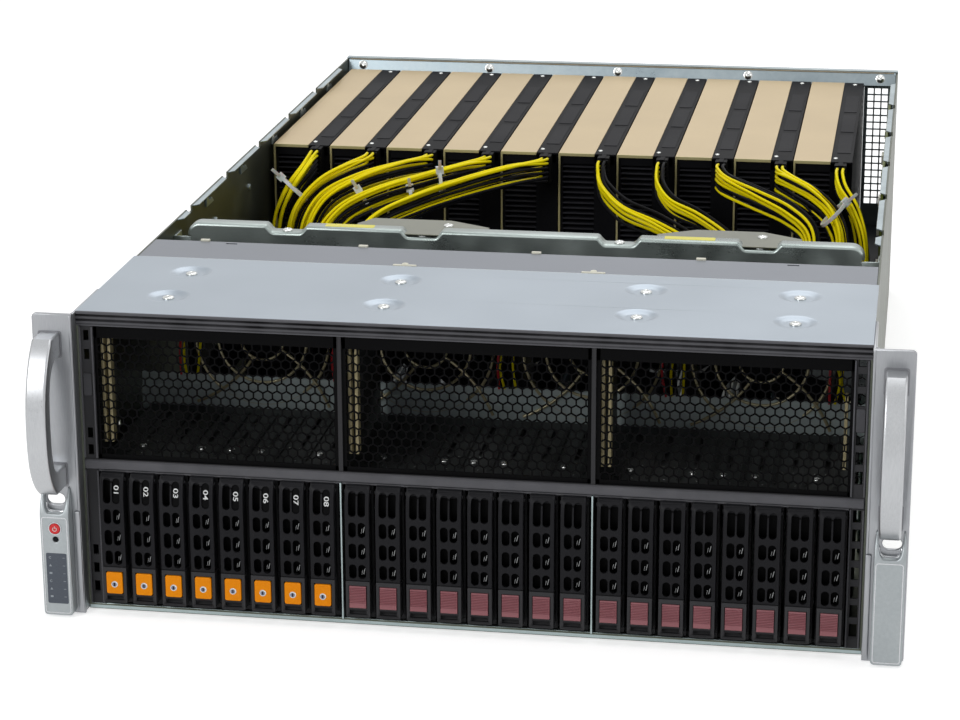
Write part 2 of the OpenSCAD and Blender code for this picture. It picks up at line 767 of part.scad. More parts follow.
// Side of a handle: Y to the front is negative, Z up from the handle's foot
module handle_side() {
    r = handle_reach - ear_reach;
    h = handle_h;
    polygon(concat([[0, h]],
        curve([-0.44 * r, h], [-0.8 * r, 0.88 * h], [-r, 0.68 * h], [-r, 0.49 * h], 7),
        curve([-r, 0.44 * h], [-r, 0.24 * h], [-0.9 * r, 0.1 * h], [-0.5 * r, 0], 7), [[0, 0]]));
}
module handle_gap() {
    r = handle_reach - ear_reach - grip_t;
    foot = grip_t + 4;
    h = handle_h - foot;
    polygon(concat([[eps, h]],
        curve([-0.4 * r, h], [-0.8 * r, 0.97 * h], [-r, 0.85 * h], [-r, 0.55 * h], 6),
        curve([-r, 0.5 * h], [-r, 0.3 * h], [-0.9 * r, foot], [-0.5 * r, foot - 1], 6),
        [[eps, foot - 1]]));
}
module ear_handles() {
    color("#b4b6ba") both_sides()
        translate([handle_x, -ear_reach, handle_z]) rotate([90, 0, 90])
            linear_extrude(handle_w) difference() {
                handle_side();
                handle_gap();
            }
}

module ear_covers() {
    color("#a2a4a8") difference() {
        both_sides() upright(-ear_cover_reach, ear_cover_reach - ear_reach)
            translate([ear_cover_x, ear_cover_z + ear_cover_h / 2])
                round_square([ear_cover_w, ear_cover_h], 2);
        translate([-control_x, 0, power_z]) along_y(-ear_cover_reach - 1, power_r + button_gap,
            ear_cover_reach);
        translate([-control_x, 0, reset_z]) along_y(-ear_cover_reach - 1, reset_r + button_gap,
            ear_cover_reach);
        box(-control_x - display_w / 2, -control_x + display_w / 2, -ear_cover_reach - 1,
            -ear_cover_reach + display_depth, display_z, display_z + display_h);
    }
}
module power_button() {
    color("#dc2420") translate([-control_x, 0, power_z]) along_y(-ear_cover_reach - 0.8, power_r, 7);
}
module reset_button() {
    color("#35383c") translate([-control_x, 0, reset_z]) along_y(-ear_cover_reach + 0.2, reset_r, 6);
}

// ---- Fans

module at_fan(i) {
    translate([fan_bank_x + (i - 1.5) * fan_pitch, fan_y, fan_z + fan_size / 2]) children();
}
bore_r = fan_size / 2 - 1.6;
module fan_frame() {
    difference() {
        box(-fan_size / 2, fan_size / 2, 0, fan_t, -fan_size / 2, fan_size / 2);
        along_y(-1, bore_r, fan_t + 2);
    }
    along_y(fan_t - 6, hub_r, 6);
    for (a = [45 : 90 : 315]) rotate([0, a, 0]) box(hub_r - 2, bore_r + 1, fan_t - 4, fan_t, -1.5, 1.5);
}
module fan_wall() {
    deck_y = cage_d + board_t + 1;
    color("#b7bcbd") {
        box(-in_w, in_w, deck_y, fan_cover_back - 2, fan_z - sheet, fan_z);
        box(-in_w, in_w, deck_y, deck_y + sheet, fan_z, fan_lip_top);
        for (x = [-in_w, -fan_post_x, fan_post_x - fan_post_w, in_w - fan_post_w])
            box(x, x + fan_post_w, fan_cover_back - 2 - sheet, fan_cover_back - 2, sheet, fan_z - sheet);
    }
    color("#232323") for (i = [0 : 3]) at_fan(i) fan_frame();
}
module fan_rotor(i) {
    tip = bore_r - blade_gap;
    color("#1c1c1c") at_fan(i) {
        along_y(3, hub_r, fan_t - 10);
        for (b = [0 : blades - 1]) rotate([0, b * 360 / blades, 0])
            intersection() {
                translate([0, fan_t / 2 - 2, 0]) rotate([blade_angle, 0, 0])
                    box(hub_r - 1, tip, -12, 12, -0.9, 0.9);
                along_y(3, tip, fan_t - 10);
            }
    }
}

// ---- Boards

module motherboard() {
    color("#1f4e38") {
        translate([0, 0, board_z]) linear_extrude(board_t)
            polygon([[-in_w + 5, board_y], [in_w - 5, board_y], [in_w - 5, body_d - 4],
                [io_x0, body_d - 4], [io_x0, board_back], [-in_w + 5, board_back]]);
        for (x = [-in_w + 12, 0, in_w - 12], y = [board_y + 8, (board_y + board_back) / 2, board_back - 12])
            translate([x, y, sheet]) cylinder(h = board_gap, r = standoff_r);
        for (x = [io_x0 + 8, in_w - 12])
            translate([x, (board_back + body_d) / 2, sheet]) cylinder(h = board_gap, r = standoff_r);
        for (s = [-1, 1]) box(s * cpu_x - 28, s * cpu_x + 28, cpu_y - 39, cpu_y + 39, board_top,
            board_top + 5);
    }
}

module io_port(x, w, h, hole_w, hole_h, floors) {
    difference() {
        box(x, x + w, body_d - socket_d, body_d + 0.4, board_top, board_top + h * floors);
        for (f = [0 : floors - 1])
            box(x + (w - hole_w) / 2, x + (w + hole_w) / 2, body_d - socket_hole_d, body_d + 1,
                board_top + h * (f + 0.5) - hole_h / 2, board_top + h * (f + 0.5) + hole_h / 2);
    }
}
module io_ports() {
    first = io_x0 + socket_gap;
    color("#c8cccc") {
        for (i = [0, 1])
            io_port(first + i * (net_w + socket_gap), net_w, net_h, net_w - 4.2, net_h - 5.6, 1);
        io_port(first + 2 * (net_w + socket_gap), data_w, data_h, data_w - 2.8, data_h - 3.2, 2);
    }
    color("#3050a0") io_port(first + 2 * net_w + data_w + 3 * socket_gap + 1, display_plug_w, display_plug_h,
        display_plug_w - 13, display_plug_h - 3.5, 1);
}

module cpu_heatsinks() {
    base = board_top + 5;
    color("#b9bfc2") for (s = [-1, 1]) translate([s * cpu_x, cpu_y, 0]) difference() {
        box(-sink_w / 2, sink_w / 2, -sink_len / 2, sink_len / 2, base, sink_top);
        for (i = [0 : sink_fins - 1])
            translate([(i - (sink_fins - 1) / 2) * sink_w / (sink_fins + 1), 0, 0])
                box(-1.2, 1.2, -sink_len, sink_len, base + 6, sink_top + 1);
    }
}

module memory_modules() {
    color("#1d1f20") for (s = [-1, 1], side = [-1, 1], i = [0 : dimms - 1])
        translate([s * cpu_x + side * (sink_w / 2 + 5.4 + i * dimm_pitch), cpu_y, board_top]) {
            box(-2.6, 2.6, -dimm_len / 2 - 5, dimm_len / 2 + 5, 0, 7);
            box(-0.8, 0.8, -dimm_len / 2, dimm_len / 2, 7, dimm_h);
        }
}

// ---- Cards

module gpu_shelf() {
    color("#9aa3a4") {
        box(-in_w, in_w, shelf_y, body_d - sheet, shelf_z, shelf_z + sheet);
        for (i = [0 : supplies])
            translate([psu_x0 + (i - 0.5) * psu_pitch, 0, 0])
                box(-bay_wall / 2, bay_wall / 2, body_d - psu_len - 4, body_d - sheet, sheet, shelf_z);
        both_sides() box(in_w - sheet, in_w, shelf_y, shelf_y + 30, shelf_z - 20, shelf_z);
    }
}

module at_card(i) {
    translate([card_x0 + i * card_pitch, 0, 0]) children();
}
module gpu_board() {
    color("#20242a") {
        box(-in_w + 5, in_w - 5, shelf_y + 4, body_d - 5, cards_board_z, cards_board_z + board_t);
        for (x = [-in_w + 12, -in_w / 3, in_w / 3, in_w - 12],
            y = [shelf_y + 10, (shelf_y + body_d) / 2, body_d - 14])
            translate([x, y, shelf_z + sheet]) cylinder(h = 2, r = standoff_r);
        for (i = [0 : cards - 1]) at_card(i)
            box(card_socket_x - card_socket_w / 2, card_socket_x + card_socket_w / 2, card_y + 60,
                card_y + 60 + card_socket_len, cards_board_z + board_t, card_z);
        for (i = [0 : cards - 1])
            let (end = last(cable_routes[i])) translate([end[0], end[1], 0])
                box(-header_w / 2, header_w / 2, -header_d / 2, header_d / 2, cards_board_z + board_t, end[2]);
    }
}

module gpu_shrouds() {
    fin_pitch = (card_h - 16) / card_fins;
    color("#1a1a1c") for (i = [0 : cards - 1]) at_card(i) {
        difference() {
            box(sheet, card_w, card_y + 1, card_back, card_z, card_top - sheet);
            for (j = [0 : card_fins - 1])
                box(sheet + 2, plate_w, card_y, card_y + 9, card_z + 6 + j * fin_pitch,
                    card_z + 6 + (j + 0.72) * fin_pitch);
        }
        box(plate_w, card_w, card_y - 1, card_back, card_top - sheet, card_top);
        box(connector_x - plug_w / 2, connector_x + plug_w / 2, cable_routes[i][0][1], card_y + 1,
            card_top - 0.5 - plug_h, card_top - 0.5);
        box(sheet + 2, card_w - 4, card_back, body_d - 2 * sheet, card_z + 4, card_top - 12);
    }
}

module gpu_plates() {
    color("#cfbb98") for (i = [0 : cards - 1]) at_card(i) {
        box(0, plate_w, card_y, card_back, card_top - sheet, card_top);
        box(0, sheet, card_y, card_back, card_z, card_top - sheet);
    }
}

module gpu_brackets() {
    slot_w = card_w / 2 - 7;
    pitch = (card_h - 20) / bracket_rows;
    color("#aab4b6") for (i = [0 : cards - 1]) at_card(i)
        upright(body_d - 2 * sheet, sheet) difference() {
            translate([0, card_z]) square([card_w, card_h - 3]);
            for (x = [card_w / 2 - 1.5 - slot_w, card_w / 2 + 1.5], j = [0 : bracket_rows - 1])
                translate([x, card_z + 8 + j * pitch]) square([slot_w, card_slot_h]);
        }
}

// Middle line of each card's bundle of power wires, from its plug to its header on the board
cable_routes = [
    [[-181, 438, 160], [-181, 432, 160], [-184, 420, 155], [-191, 410, 144], [-197, 404, 127],
        [-198, 401, 104], [-192, 406, 84], [-190, 409, 75], [-190, 409, 70]],
    [[-141, 438, 160], [-142, 431, 160], [-152, 417, 158], [-168, 404, 150], [-181, 392, 134],
        [-184, 386, 110], [-176, 398, 86], [-172, 409, 75], [-172, 409, 70]],
    [[-99, 438, 160], [-101, 431, 161], [-114, 417, 161], [-140, 400, 155], [-162, 385, 143],
        [-170, 374, 120], [-162, 386, 92], [-154, 409, 75], [-154, 409, 70]],
    [[-58, 438, 160], [-60, 431, 161], [-72, 418, 161], [-96, 400, 157], [-124, 384, 150],
        [-146, 368, 140], [-156, 358, 122], [-148, 374, 94], [-136, 409, 75], [-136, 409, 70]],
    [[-18, 438, 160], [-20, 431, 161], [-36, 418, 161], [-66, 400, 155], [-98, 382, 146],
        [-122, 364, 136], [-134, 350, 118], [-130, 366, 92], [-118, 409, 75], [-118, 409, 70]],
    [[22, 438, 160], [22, 431, 158], [26, 418, 151], [42, 400, 142], [68, 384, 136],
        [94, 368, 126], [110, 358, 108], [116, 376, 88], [118, 409, 75], [118, 409, 70]],
    [[63, 438, 160], [63, 431, 159], [65, 418, 154], [75, 404, 146], [94, 392, 140],
        [116, 380, 128], [132, 372, 110], [136, 386, 88], [136, 409, 75], [136, 409, 70]],
    [[104, 438, 160], [104, 431, 160], [111, 418, 158], [132, 402, 153], [154, 388, 146],
        [168, 376, 135], [168, 364, 112], [158, 378, 88], [154, 409, 75], [154, 409, 70]],
    [[144, 438, 160], [145, 431, 160], [153, 419, 159], [168, 406, 154], [181, 394, 145],
        [188, 382, 131], [186, 376, 108], [177, 388, 86], [172, 409, 75], [172, 409, 70]],
    [[185, 438, 160], [185, 432, 159], [188, 422, 154], [196, 411, 144], [202, 402, 128],
        [203, 398, 106], [196, 404, 86], [190, 409, 75], [190, 409, 70]]];
function last(list) = list[len(list) - 1];
sides = 8;
module tube(route, r) {
    line = smooth(route, 3);
    n = len(line);
    rings = [for (k = [0 : n - 1]) let (
        ahead = k == 0 ? [0, -1, 0] : k == n - 1 ? [0, 0, -1] : unit(line[k + 1] - line[k - 1]),
        side = unit(cross(ahead, [0.31, 0.37, 0.87])),
        up = cross(side, ahead))
        for (s = [0 : sides - 1]) line[k] + r * (side * cos(s * 360 / sides) + up * sin(s * 360 / sides))];
    polyhedron(points = rings, convexity = 6, faces = concat(
        [[for (s = [0 : sides - 1]) s]],
        [for (k = [0 : n - 2], s = [0 : sides - 1]) let (t = (s + 1) % sides)
            [k * sides + s, (k + 1) * sides + s, (k + 1) * sides + t]],
        [for (k = [0 : n - 2], s = [0 : sides - 1]) let (t = (s + 1) % sides)
            [k * sides + s, (k + 1) * sides + t, k * sides + t]],
        [[for (s = [sides - 1 : -1 : 0]) (n - 1) * sides + s]]));
}
module gpu_power_cables() {
    color("#e6cd14") for (i = [0 : cards - 1]) tube(cable_routes[i], bundle_d / 2);
}

// ---- Power supplies

module power_supply(i) {
    y0 = body_d + 1.5;
    color("#b9bfc2") translate([psu_x0 + i * psu_pitch, 0, psu_z]) {
        difference() {
            box(-psu_w / 2, psu_w / 2, body_d - psu_len, y0, 0, psu_h);
            for (a = [0 : 6], b = [0 : 5])
                translate([-psu_w / 2 + 13 + a * 4.6, 0, 6 + b * 5]) box(0, 3.4, y0 - 4, y0 + 1, 0, 3.4);
            box(psu_w / 2 - 28, psu_w / 2 - 4, y0 - 14, y0 + 1, 9, 27);
        }
        difference() {
            box(-psu_w / 2 + 3, -psu_w / 2 + 10, y0, y0 + psu_handle, 3, psu_h - 3);
            box(-psu_w / 2 + 2, -psu_w / 2 + 11, y0 + 4, y0 + psu_handle - 4, 7, psu_h - 7);
        }
    }
    color("#3c7a4a") translate([psu_x0 + i * psu_pitch, 0, psu_z])
        box(psu_w / 2 - 6 - psu_latch_w, psu_w / 2 - 6, y0, y0 + psu_latch_d, psu_h - 7, psu_h - 4);
}

centred() chassis_tub();
centred() rear_panel();
centred() top_cover();
centred() fan_cover();
centred() fasteners();
centred() cross_brace();
centred() front_frame();
centred() window_grilles();
centred() drive_cage();
centred() drive_backplane();
centred() rack_ears();
centred() ear_handles();
centred() ear_covers();
centred() fan_wall();
centred() motherboard();
centred() io_ports();
centred() cpu_heatsinks();
centred() memory_modules();
centred() gpu_shelf();
centred() gpu_board();
centred() gpu_shrouds();
centred() gpu_plates();
centred() gpu_brackets();
centred() gpu_power_cables();
centred() tray_lever_01();
centred() tray_release_01();
centred() power_button();
centred() reset_button();
for (i = [0 : 3 * bays - 1]) {
    centred() tray(i);
}
for (i = [0 : 3]) {
    centred() fan_rotor(i);
}
for (i = [0 : supplies - 1]) {
    centred() power_supply(i);
}
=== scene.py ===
import math
import random

import bmesh
import bpy
from mathutils import Matrix, Vector, noise


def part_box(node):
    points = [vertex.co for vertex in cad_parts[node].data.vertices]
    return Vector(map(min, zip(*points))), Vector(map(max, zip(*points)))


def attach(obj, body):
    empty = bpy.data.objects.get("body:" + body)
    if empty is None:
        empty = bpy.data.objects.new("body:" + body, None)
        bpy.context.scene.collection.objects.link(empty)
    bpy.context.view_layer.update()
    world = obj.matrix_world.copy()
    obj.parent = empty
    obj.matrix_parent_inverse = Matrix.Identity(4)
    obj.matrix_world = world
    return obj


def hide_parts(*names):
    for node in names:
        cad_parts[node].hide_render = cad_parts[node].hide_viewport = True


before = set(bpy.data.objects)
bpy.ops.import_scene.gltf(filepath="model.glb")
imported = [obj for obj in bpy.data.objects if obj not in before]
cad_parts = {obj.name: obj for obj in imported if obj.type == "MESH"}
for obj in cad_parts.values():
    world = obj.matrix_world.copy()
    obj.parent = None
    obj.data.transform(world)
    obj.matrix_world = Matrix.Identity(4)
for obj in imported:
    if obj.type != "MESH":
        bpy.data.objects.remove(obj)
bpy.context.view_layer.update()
scene = bpy.context.scene
scene.view_settings.view_transform = "Standard"

# Everything is drawn in millimetres, X across, Y = 0 at the chassis front, Z up, then moved into the frame
tubLow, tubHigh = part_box("chassis_tub")
frontY = tubLow.y
toFrame = Matrix.Translation((0, frontY, 0)) @ Matrix.Scale(0.001, 4)
halfBody = tubHigh.x * 1000
sheet = 1.2
innerHalf = halfBody - sheet
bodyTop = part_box("top_cover")[1].z * 1000
underTop = bodyTop - sheet
bodyDepth = tubHigh.y * 1000 - frontY * 1000


# Camera

viewing = {"spot": (0.237989, -1.766298, 0.604194), "turn": 0.169, "pitch": 0.302, "roll": -0.006,
           "lens": 103.3, "shiftX": 0.01847, "shiftY": -0.00344}
cameraData = bpy.data.cameras.new("camera")
cameraData.lens = viewing["lens"]
cameraData.sensor_width = 36
cameraData.shift_x = viewing["shiftX"]
cameraData.shift_y = viewing["shiftY"]
cameraData.clip_end = 50
camera = bpy.data.objects.new("camera", cameraData)
scene.collection.objects.link(camera)
camera.matrix_world = (Matrix.Translation(viewing["spot"]) @ Matrix.Rotation(viewing["turn"], 4, "Z")
    @ Matrix.Rotation(math.pi / 2 - viewing["pitch"], 4, "X") @ Matrix.Rotation(viewing["roll"], 4, "Z"))
scene.camera = camera


# Drawing helpers

def upright(u, v, w):
    return (u, w, v)


def flat(u, v, w):
    return (u, v, w)


def sideways(u, v, w):
    return (w, u, v)


def arc(centreU, centreV, radius, start, end, steps):
    angles = [math.radians(start + (end - start) * i / steps) for i in range(steps + 1)]
    return [(centreU + radius * math.cos(a), centreV + radius * math.sin(a)) for a in angles]


def roundedRect(u0, u1, v0, v1, radius, steps=4):
    return (arc(u1 - radius, v1 - radius, radius, 0, 90, steps) + arc(u0 + radius, v1 - radius, radius, 90,
        180, steps) + arc(u0 + radius, v0 + radius, radius, 180, 270, steps)
        + arc(u1 - radius, v0 + radius, radius, 270, 360, steps))


def bezier(a, b, c, d, steps):
    points = []
    for i in range(steps + 1):
        t = i / steps
        u = 1 - t
        points.append(tuple(u ** 3 * p + 3 * u * u * t * q + 3 * u * t * t * r + t ** 3 * s for p, q, r,
            s in zip(a, b, c, d)))
    return points


def smoothRoute(points, steps):
    line = []
    last = len(points) - 1
    for i in range(last):
        a, b, c, d = (Vector(points[k]) for k in (max(i - 1, 0), i, i + 1, min(i + 2, last)))
        for k in range(steps):
            t = k / steps
            line.append(0.5 * (2 * b + (c - a) * t + (2 * a - 5 * b + 4 * c - d) * t * t
                + (3 * b - a - 3 * c + d) * t ** 3))
    return line + [Vector(points[-1])]


def turned(loop, sense):
    area = sum(a[0] * b[1] - b[0] * a[1] for a, b in zip(loop, loop[1:] + loop[:1]))
    return list(loop) if area * sense > 0 else list(reversed(loop))


def shifted(loop, distance):
    moved = []
    for k, point in enumerate(loop):
        before, after = Vector(loop[k - 1]), Vector(loop[(k + 1) % len(loop)])
        first = (Vector(point) - before).normalized()
        second = (after - Vector(point)).normalized()
        normal = Vector((-first.y - second.y, first.x + second.x))
        normal = normal.normalized() if normal.length > 0.001 else Vector((-first.y, first.x))
        stretch = max(0.5, normal.dot(Vector((-first.y, first.x))))
        moved.append(tuple(Vector(point) + normal * (distance / stretch)))
    return moved


def plainMesh(data):
    holder = bpy.data.objects.new("holder", data)
    scene.collection.objects.link(holder)
    bpy.context.view_layer.update()
    mesh = bpy.data.meshes.new_from_object(holder.evaluated_get(bpy.context.evaluated_depsgraph_get()))
    bpy.data.objects.remove(holder)
    return mesh


# A flat sheet between near and far, from an outline and the holes in it
def filled(loops, put, near, far):
    curve = bpy.data.curves.new("filled", "CURVE")
    curve.dimensions = "2D"
    curve.fill_mode = "BOTH"
    curve.extrude = (far - near) / 2
    for loop in loops:
        spline = curve.splines.new("POLY")
        spline.points.add(len(loop) - 1)
        for point, (u, v) in zip(spline.points, loop):
            point.co = (u, v, 0, 1)
        spline.use_cyclic_u = True
    mesh = plainMesh(curve)
    for vert in mesh.vertices:
        vert.co = put(vert.co.x, vert.co.y, vert.co.z + (near + far) / 2)
    return mesh


class Shape:
    def __init__(self):
        self.bm = bmesh.new()

    def skin(self, rows, closed=True, capped=True):
        rings = [[self.bm.verts.new(point) for point in row] for row in rows]
        count = len(rings[0])
        faces = []
        for near, far in zip(rings, rings[1:]):
            for i in range(count if closed else count - 1):
                j = (i + 1) % count
                faces.append(self.bm.faces.new((near[i], near[j], far[j], far[i])))
        if capped:
            faces.append(self.bm.faces.new(rings[0][::-1]))
            faces.append(self.bm.faces.new(rings[-1]))
        bmesh.ops.recalc_face_normals(self.bm, faces=faces)
        return faces

    def soften(self, faces, soft, segments):
        if soft:
            edges = {edge for face in faces for edge in face.edges}
            bmesh.ops.bevel(self.bm, geom=list(edges), offset=soft, segments=segments, profile=0.5,
                affect="EDGES", clamp_overlap=True)

    def prism(self, outline, put, near, far, soft=0.0, segments=2):
        faces = self.skin([[put(u, v, w) for u, v in outline] for w in (near, far)])
        self.soften(faces[-2:], soft, segments)

    def box(self, x0, x1, y0, y1, z0, z1, soft=0.25, segments=2):
        faces = self.skin([[(x0, y0, z), (x1, y0, z), (x1, y1, z), (x0, y1, z)] for z in (z0, z1)])
        self.soften(faces, soft, segments)

    def lathe(self, profile, put, centre=(0, 0), steps=32):
        rows = []
        turns = [2 * math.pi * k / steps for k in range(steps)]
        for radius, height in profile:
            rows.append([put(centre[0] + max(radius, 0.0001) * math.cos(t), centre[1] + max(radius, 0.0001)
                * math.sin(t), height) for t in turns])
        faces = self.skin(rows, capped=False)
        verts = list({vert for face in faces for vert in face.verts})
        bmesh.ops.remove_doubles(self.bm, verts=verts, dist=0.001)

    def tube(self, line, radius, sides=8):
        rows = []
        side = None
        for k, point in enumerate(line):
            ahead = (line[min(k + 1, len(line) - 1)] - line[max(k - 1, 0)]).normalized()
            if side is None:
                side = ahead.cross(Vector((0.31, 0.37, 0.87))).normalized()
            side = (side - ahead * side.dot(ahead)).normalized()
            up = ahead.cross(side)
            rows.append([point + radius * (side * math.cos(2 * math.pi * s / sides)
                + up * math.sin(2 * math.pi * s / sides)) for s in range(sides)])
        self.skin(rows)

    def punched(self, outline, holes, put, near, far):
        self.add(filled([outline] + list(holes), put, near, far), merge=0.001)

    # A plate with holes whose edges are rounded; the material lies to the left of every loop
    def plate(self, outline, holes, put, near, far, soft=0.4, segments=3):
        loops = [turned(outline, 1)] + [turned(hole, -1) for hole in holes]
        angles = [math.pi / 2 * k / segments for k in range(segments + 1)]
        profile = [(soft * (1 - math.sin(a)), near + soft * (1 - math.cos(a))) for a in angles]
        profile += [(soft * (1 - math.cos(a)), far - soft * (1 - math.sin(a))) for a in angles]
        before = len(self.bm.verts)
        for loop in loops:
            self.skin([[put(u, v, w) for u, v in shifted(loop, inset)] for inset, w in profile],
                capped=False)
        caps = [shifted(loop, soft) for loop in loops]
        self.bm.verts.ensure_lookup_table()
        for w in (near, far):
            self.add(filled(caps, put, w, w))
        self.bm.verts.ensure_lookup_table()
        bmesh.ops.remove_doubles(self.bm, verts=self.bm.verts[before:], dist=0.004)
        self.bm.verts.ensure_lookup_table()
        faces = list({face for vert in self.bm.verts[before:] for face in vert.link_faces})
        bmesh.ops.recalc_face_normals(self.bm, faces=faces)

    def add(self, mesh, matrix=None, merge=0.0):
        if matrix:
            mesh = mesh.copy()
            mesh.transform(matrix)
        before = len(self.bm.verts)
        self.bm.from_mesh(mesh)
        self.bm.verts.ensure_lookup_table()
        if merge:
            bmesh.ops.remove_doubles(self.bm, verts=self.bm.verts[before:], dist=merge)
            self.bm.verts.ensure_lookup_table()
            faces = list({face for vert in self.bm.verts[before:] for face in vert.link_faces})
            bmesh.ops.recalc_face_normals(self.bm, faces=faces)

    def mesh(self, name):
        mesh = bpy.data.meshes.new(name)
        self.bm.to_mesh(mesh)
        self.bm.free()
        return mesh


def addPiece(name, mesh, body, material, replaced=(), smooth=32, bevel=0.0, segments=2):
    if isinstance(mesh, Shape):
        mesh = mesh.mesh(name)
    mesh.transform(toFrame)
    mesh.materials.clear()
    mesh.materials.append(material)
    mesh.polygons.foreach_set("material_index", [0] * len(mesh.polygons))
    mesh.polygons.foreach_set("use_smooth", [True] * len(mesh.polygons))
    mesh.set_sharp_from_angle(angle=math.radians(smooth))
    piece = bpy.data.objects.new(name, mesh)
    scene.collection.objects.link(piece)
    if bevel:
        modifier = piece.modifiers.new("softEdges", "BEVEL")
        modifier.width = bevel / 1000
        modifier.segments = segments
        modifier.limit_method = "ANGLE"
        modifier.angle_limit = math.radians(40)
        modifier.use_clamp_overlap = False
        modifier.harden_normals = False
    if smooth < 45:
        weighted = piece.modifiers.new("evenNormals", "WEIGHTED_NORMAL")
        weighted.keep_sharp = True
    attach(piece, body)
    if replaced:
        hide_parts(*replaced)
    return piece


# A CAD node's own shape with its edges softened, in millimetres
def softCopy(nodeName, width=0.0, segments=2):
    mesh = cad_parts[nodeName].data.copy()
    mesh.transform(toFrame.inverted())
    bm = bmesh.new()
    bm.from_mesh(mesh)
    bmesh.ops.remove_doubles(bm, verts=bm.verts, dist=0.002)
    bmesh.ops.dissolve_limit(bm, angle_limit=math.radians(0.5), verts=bm.verts, edges=bm.edges)
    if width:
        sharp = [e for e in bm.edges if len(e.link_faces) == 2 and e.calc_face_angle(0) > math.radians(40)]
        bmesh.ops.bevel(bm, geom=sharp, offset=width, segments=segments, profile=0.5, affect="EDGES",
            clamp_overlap=True)
    bm.to_mesh(mesh)
    bm.free()
    return mesh


# Geometry node helpers

def newTree(name, sockets):
    tree = bpy.data.node_groups.new(name, "GeometryNodeTree")
    tree.interface.new_socket("Geometry", in_out="INPUT", socket_type="NodeSocketGeometry")
    for label, kind in sockets:
        tree.interface.new_socket(label, in_out="INPUT", socket_type="NodeSocket" + kind)
    tree.interface.new_socket("Geometry", in_out="OUTPUT", socket_type="NodeSocketGeometry")
    return tree


def node(tree, kind, links=None, **settings):
    made = tree.nodes.new(kind)
    for key, value in settings.items():
        setattr(made, key, value)
    for socket, source in (links or {}).items():
        target = made.inputs[socket]
        if hasattr(source, "is_output"):
            tree.links.new(source, target)
        else:
            target.default_value = source
    return made


def runTree(tree, baseMesh, values):
    holder = bpy.data.objects.new("holder", baseMesh or bpy.data.meshes.new("empty"))
    scene.collection.objects.link(holder)
    modifier = holder.modifiers.new("nodes", "NODES")
    modifier.node_group = tree
    for item in tree.interface.items_tree:
        if item.item_type == "SOCKET" and item.in_out == "INPUT" and item.name in values:
            modifier[item.identifier] = values[item.name]
    bpy.context.view_layer.update()
    mesh = bpy.data.meshes.new_from_object(holder.evaluated_get(bpy.context.evaluated_depsgraph_get()))
    holder.modifiers.remove(modifier)
    bpy.data.objects.remove(holder)
    return mesh


def copiesTree():
    tree = newTree("copiesOnPoints", [("Source", "Object"), ("Material", "Material")])
    start = node(tree, "NodeGroupInput")
    source = node(tree, "GeometryNodeObjectInfo", {"Object": start.outputs["Source"]})
    turn = node(tree, "GeometryNodeInputNamedAttribute", {"Name": "turn"}, data_type="FLOAT_VECTOR")
    size = node(tree, "GeometryNodeInputNamedAttribute", {"Name": "size"}, data_type="FLOAT_VECTOR")
    copies = node(tree, "GeometryNodeInstanceOnPoints", {"Points": start.outputs["Geometry"],
        "Instance": source.outputs["Geometry"], "Rotation": turn.outputs["Attribute"],
        "Scale": size.outputs["Attribute"]})
    real = node(tree, "GeometryNodeRealizeInstances", {"Geometry": copies.outputs["Instances"]})
    dressed = node(tree, "GeometryNodeSetMaterial", {"Geometry": real.outputs["Geometry"],
        "Material": start.outputs["Material"]})
    node(tree, "NodeGroupOutput", {"Geometry": dressed.outputs["Geometry"]})
    return tree


copies = copiesTree()


# spots holds (place, turn in degrees, size) of each copy
def repeated(source, spots, material):
    if isinstance(source, Shape):
        source = source.mesh("source")
    points = bpy.data.meshes.new("points")
    points.from_pydata([spot[0] for spot in spots], [], [])
    turns = points.attributes.new("turn", "FLOAT_VECTOR", "POINT")
    sizes = points.attributes.new("size", "FLOAT_VECTOR", "POINT")
    for i, spot in enumerate(spots):
        turns.data[i].vector = [math.radians(a) for a in (spot[1] if len(spot) > 1 else (0, 0, 0))]
        sizes.data[i].vector = spot[2] if len(spot) > 2 else (1, 1, 1)
    origin = bpy.data.objects.new("source", source)
    scene.collection.objects.link(origin)
    mesh = runTree(copies, points, {"Source": origin, "Material": material})
    bpy.data.objects.remove(origin)
    return mesh


# Shared shader effects

def newEffect(name, inputs, outputs):
    group = bpy.data.node_groups.new(name, "ShaderNodeTree")
    for label, kind, value in inputs:
        socket = group.interface.new_socket(label, in_out="INPUT", socket_type="NodeSocket" + kind)
        socket.default_value = value
    for label, kind in outputs:
        group.interface.new_socket(label, in_out="OUTPUT", socket_type="NodeSocket" + kind)
    return group


def grainEffect():
    group = newEffect("grain", [("Stretch", "Vector", (1, 1, 1)), ("Scale", "Float", 300.0),
        ("Cloud", "Float", 12.0), ("Depth", "Float", 0.5)], [("Tone", "Float"), ("Cloud", "Float"),
        ("Height", "Float")])
    start = node(group, "NodeGroupInput")
    place = node(group, "ShaderNodeTexCoord")
    stretched = node(group, "ShaderNodeMapping", {"Vector": place.outputs["Object"],
        "Scale": start.outputs["Stretch"]})
    fine = node(group, "ShaderNodeTexNoise", {"Vector": stretched.outputs["Vector"],
        "Scale": start.outputs["Scale"], "Detail": 4.0, "Roughness": 0.6})
    cloud = node(group, "ShaderNodeTexNoise", {"Vector": place.outputs["Object"],
        "Scale": start.outputs["Cloud"], "Detail": 5.0, "Roughness": 0.55})
    both = node(group, "ShaderNodeMix", {0: start.outputs["Depth"], 2: fine.outputs["Fac"],
        3: cloud.outputs["Fac"]}, data_type="FLOAT")
    node(group, "NodeGroupOutput", {"Tone": both.outputs[0], "Cloud": cloud.outputs["Fac"],
        "Height": fine.outputs["Fac"]})
    return group


